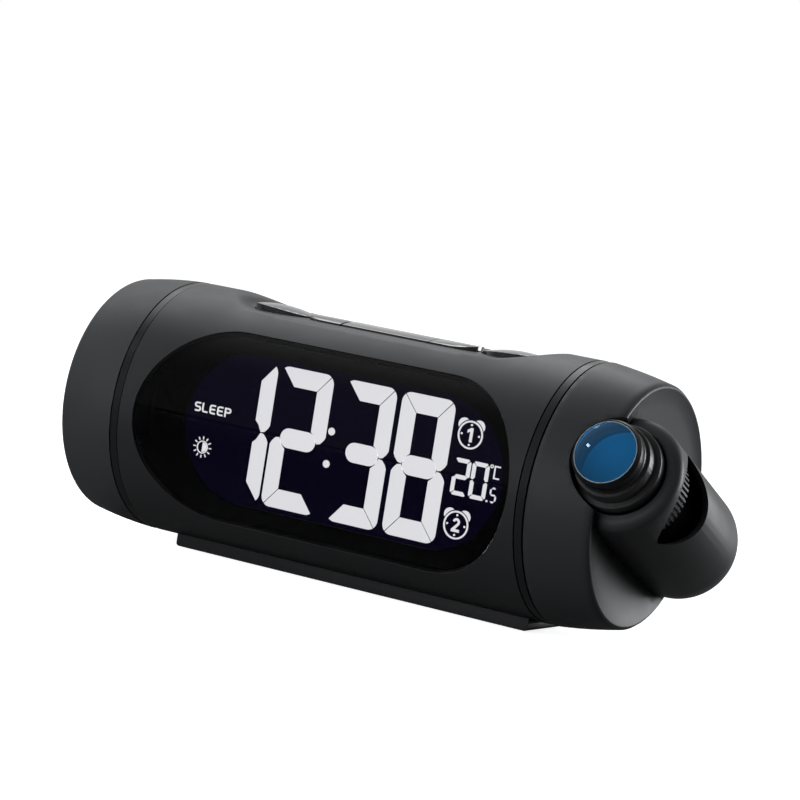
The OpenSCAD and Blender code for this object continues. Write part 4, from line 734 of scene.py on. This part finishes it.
lens_glass = glassy("lens_glass", (0.82, 0.9, 0.94))
image_glass = glassy("image_glass", (0.12, 0.2, 0.45), rough=0.1)
led_resin = glassy("led_resin", (0.3, 0.55, 1.0), rough=0.15, **{"Emission Color": (0.1, 0.35, 1.0, 1),
                                                                 "Emission Strength": 3.0})
finish(lens_glass, "condenser_lens")
finish(image_glass, "image_lcd")
finish(led_resin, "projector_led")

# ---------------------------------------------------------------------------
# Focus wheel: a ribbed black wheel, moulded in plastic, that turns in the slot
# of the head.
wheel_plastic = plastic("wheel_plastic", (0.013, 0.013, 0.0135), 0.4, specular=0.35, bump=0.1)
finish(wheel_plastic, "focus_wheel")

# ---------------------------------------------------------------------------
# Lens: stepped barrel that slides in the head, with a gloss bezel and a front
# lens with a blue-tinted coating; the blue glow of both lenses is painted light.
barrel_plastic = plastic("barrel_plastic", (0.016, 0.0162, 0.0165), 0.34, specular=0.4, bump=0.08)
bezel_gloss = plastic("bezel_gloss", (0.006, 0.006, 0.007), 0.34, specular=0.2, bump=0.02)
# The bead and the light stops are pale blue-grey, a painted highlight that makes them read as bright arcs;
# their gloss also mirrors the lamps
bead_gloss_painted_highlight = plastic("bead_gloss_painted_highlight", (0.14, 0.18, 0.2), 0.2, specular=0.6, bump=0.01)
coated_lens, add, join = node_tree("coated_lens")
where = add("ShaderNodeTexCoord")
weight = add("ShaderNodeLayerWeight", {"Blend": 0.35})
tint = add("ShaderNodeMix", data_type="RGBA")
tint.inputs[6].default_value = (0.003, 0.022, 0.055, 1)
tint.inputs[7].default_value = (0.012, 0.09, 0.2, 1)
dust = add("ShaderNodeTexNoise", {"Scale": 300.0, "Detail": 4.0})
# Painted glow and highlight on the rear lens: it glows blue, most at its upper left, and fades within 11 mm
painted_glow_place = (0.0905, -0.023, 0.06)
reach = add("ShaderNodeVectorMath", operation="DISTANCE")
reach.inputs[1].default_value = painted_glow_place
painted_glow_strength = add("ShaderNodeMapRange", {"From Min": 0.001, "From Max": 0.011, "To Min": 0.8, "To Max": 0.12},
            interpolation_type="SMOOTHSTEP")
level = add("ShaderNodeMapRange", {"From Min": 0.4, "From Max": 0.8, "To Min": 0.02, "To Max": 0.07})
# The emission colour is the painted blue glow, which stands in for the highlight and the light inside the
# lens
shader = add("ShaderNodeBsdfPrincipled", {"Specular IOR Level": 0.9, "Coat Weight": 1.0,
                                          "Coat Roughness": 0.02, "Emission Color": (0.008, 0.1, 0.2, 1)})
out = add("ShaderNodeOutputMaterial")
join(where.outputs["Object"], dust.inputs["Vector"])
join(where.outputs["Object"], reach.inputs[0])
join(reach.outputs["Value"], painted_glow_strength.inputs["Value"])
join(painted_glow_strength.outputs["Result"], shader.inputs["Emission Strength"])
join(dust.outputs["Fac"], level.inputs["Value"])
join(weight.outputs["Facing"], tint.inputs["Factor"])
join(tint.outputs[2], shader.inputs["Base Color"])
join(level.outputs["Result"], shader.inputs["Roughness"])
join(shader.outputs[0], out.inputs["Surface"])
softened("lens_barrel", "lens_tube", "lens", barrel_plastic, 0.0004, segments=3)
softened("lens_bezel", "lens_rim", "lens", bezel_gloss, 0.0003, segments=3)
# The front lens's faint blue emission is a painted glow; its tinted coating and gloss are real
front_glass_painted_glow = glassy("front_glass_painted_glow", (0.5, 0.82, 0.95), rough=0.01,
                     **{"Specular Tint": (0.45, 0.7, 1.0, 1), "Coat Weight": 0.6,
                        "Coat Tint": (0.6, 0.85, 1.0, 1), "Emission Color": (0.03, 0.5, 1.0, 1),
                        "Emission Strength": 0.03})
finish(coated_lens, "rear_lens")
finish(front_glass_painted_glow, "front_lens")


def hoops(rings, around=96, section=20):
    """Points (mm) and faces of closed hoops about the beam, each (radius, section radius, place
    along the beam): r = R + c cos v, z = Z + c sin v."""
    points, faces = [], []
    u, v = np.meshgrid(np.linspace(0, 2 * math.pi, around, endpoint=False),
                       np.linspace(0, 2 * math.pi, section, endpoint=False), indexing="ij")
    i = np.arange(around * section)
    a, b = i // section, i % section
    face = np.stack([i, ((a + 1) % around) * section + b, ((a + 1) % around) * section + (b + 1) % section,
                     a * section + (b + 1) % section], 1)
    for n, (radius, thick, place) in enumerate(rings):
        reach = radius + thick * np.cos(v)
        across = reach * np.cos(u), reach * np.sin(u), place + thick * np.sin(v)
        points.append(np.stack(across, 2).reshape(-1, 3))
        faces.append(face + n * around * section)
    return np.concatenate(points), np.concatenate(faces)


beam_x, beam_lean = 94.7, 24.5    # the beam's place along the clock (mm), and degrees up from -y


def on_beam(points):
    """Points (mm) turned from the beam's own frame, whose z is the beam, to the clock's (metres):
    a turn of 90 - beam_lean degrees about x, then a move to the beam's place on the axis."""
    turn = math.radians(90 - beam_lean)
    c, s = math.cos(turn), math.sin(turn)
    x, y, z = points.T
    return np.stack([x + beam_x, y * c - z * s, y * s + z * c + axis_mm], 1) / 1000


# The lens is held by a bead at its edge, and two light stops lie in the bore behind it
edge_bead, front_stop, rear_stop = (9.41, 0.18, 41.98), (9.3, 0.28, 35.5), (9.3, 0.28, 31.5)
points, faces = hoops((edge_bead, front_stop, rear_stop))
lens_bead = mesh_piece("lens_bead", on_beam(points), faces, bead_gloss_painted_highlight)
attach(lens_bead, "lens")

# ---------------------------------------------------------------------------
# Foot: a narrow plate, moulded in black plastic and held under the barrel by two
# screws, with a rubber strip stuck to its underside.
foot_plastic = plastic("foot_plastic", (0.009, 0.009, 0.0095), 0.42, specular=0.3, bump=0.15)
grip_rubber = plastic("grip_rubber", (0.008, 0.008, 0.008), 0.75, specular=0.2, bump=0.4, grain=1500.0)
softened("base_foot", "foot_plate", "clock", foot_plastic, 0.0003)
finish(grip_rubber, "grip_strip")

# ---------------------------------------------------------------------------
# Rear fittings: battery door with thumb ribs over the backup cell, power jack
# and the aerial wire's gland.
cell_steel = plastic("cell_steel", (0.6, 0.61, 0.62), 0.22, specular=0.5, bump=0.06, grain=4000.0,
                     metal=1.0)
jack_plastic = plastic("jack_plastic", (0.01, 0.01, 0.0105), 0.35, specular=0.4, bump=0.08)
finish(rear_plastic, "battery_door")
finish(cell_steel, "backup_cell")
finish(jack_plastic, "dc_jack", "antenna_gland")
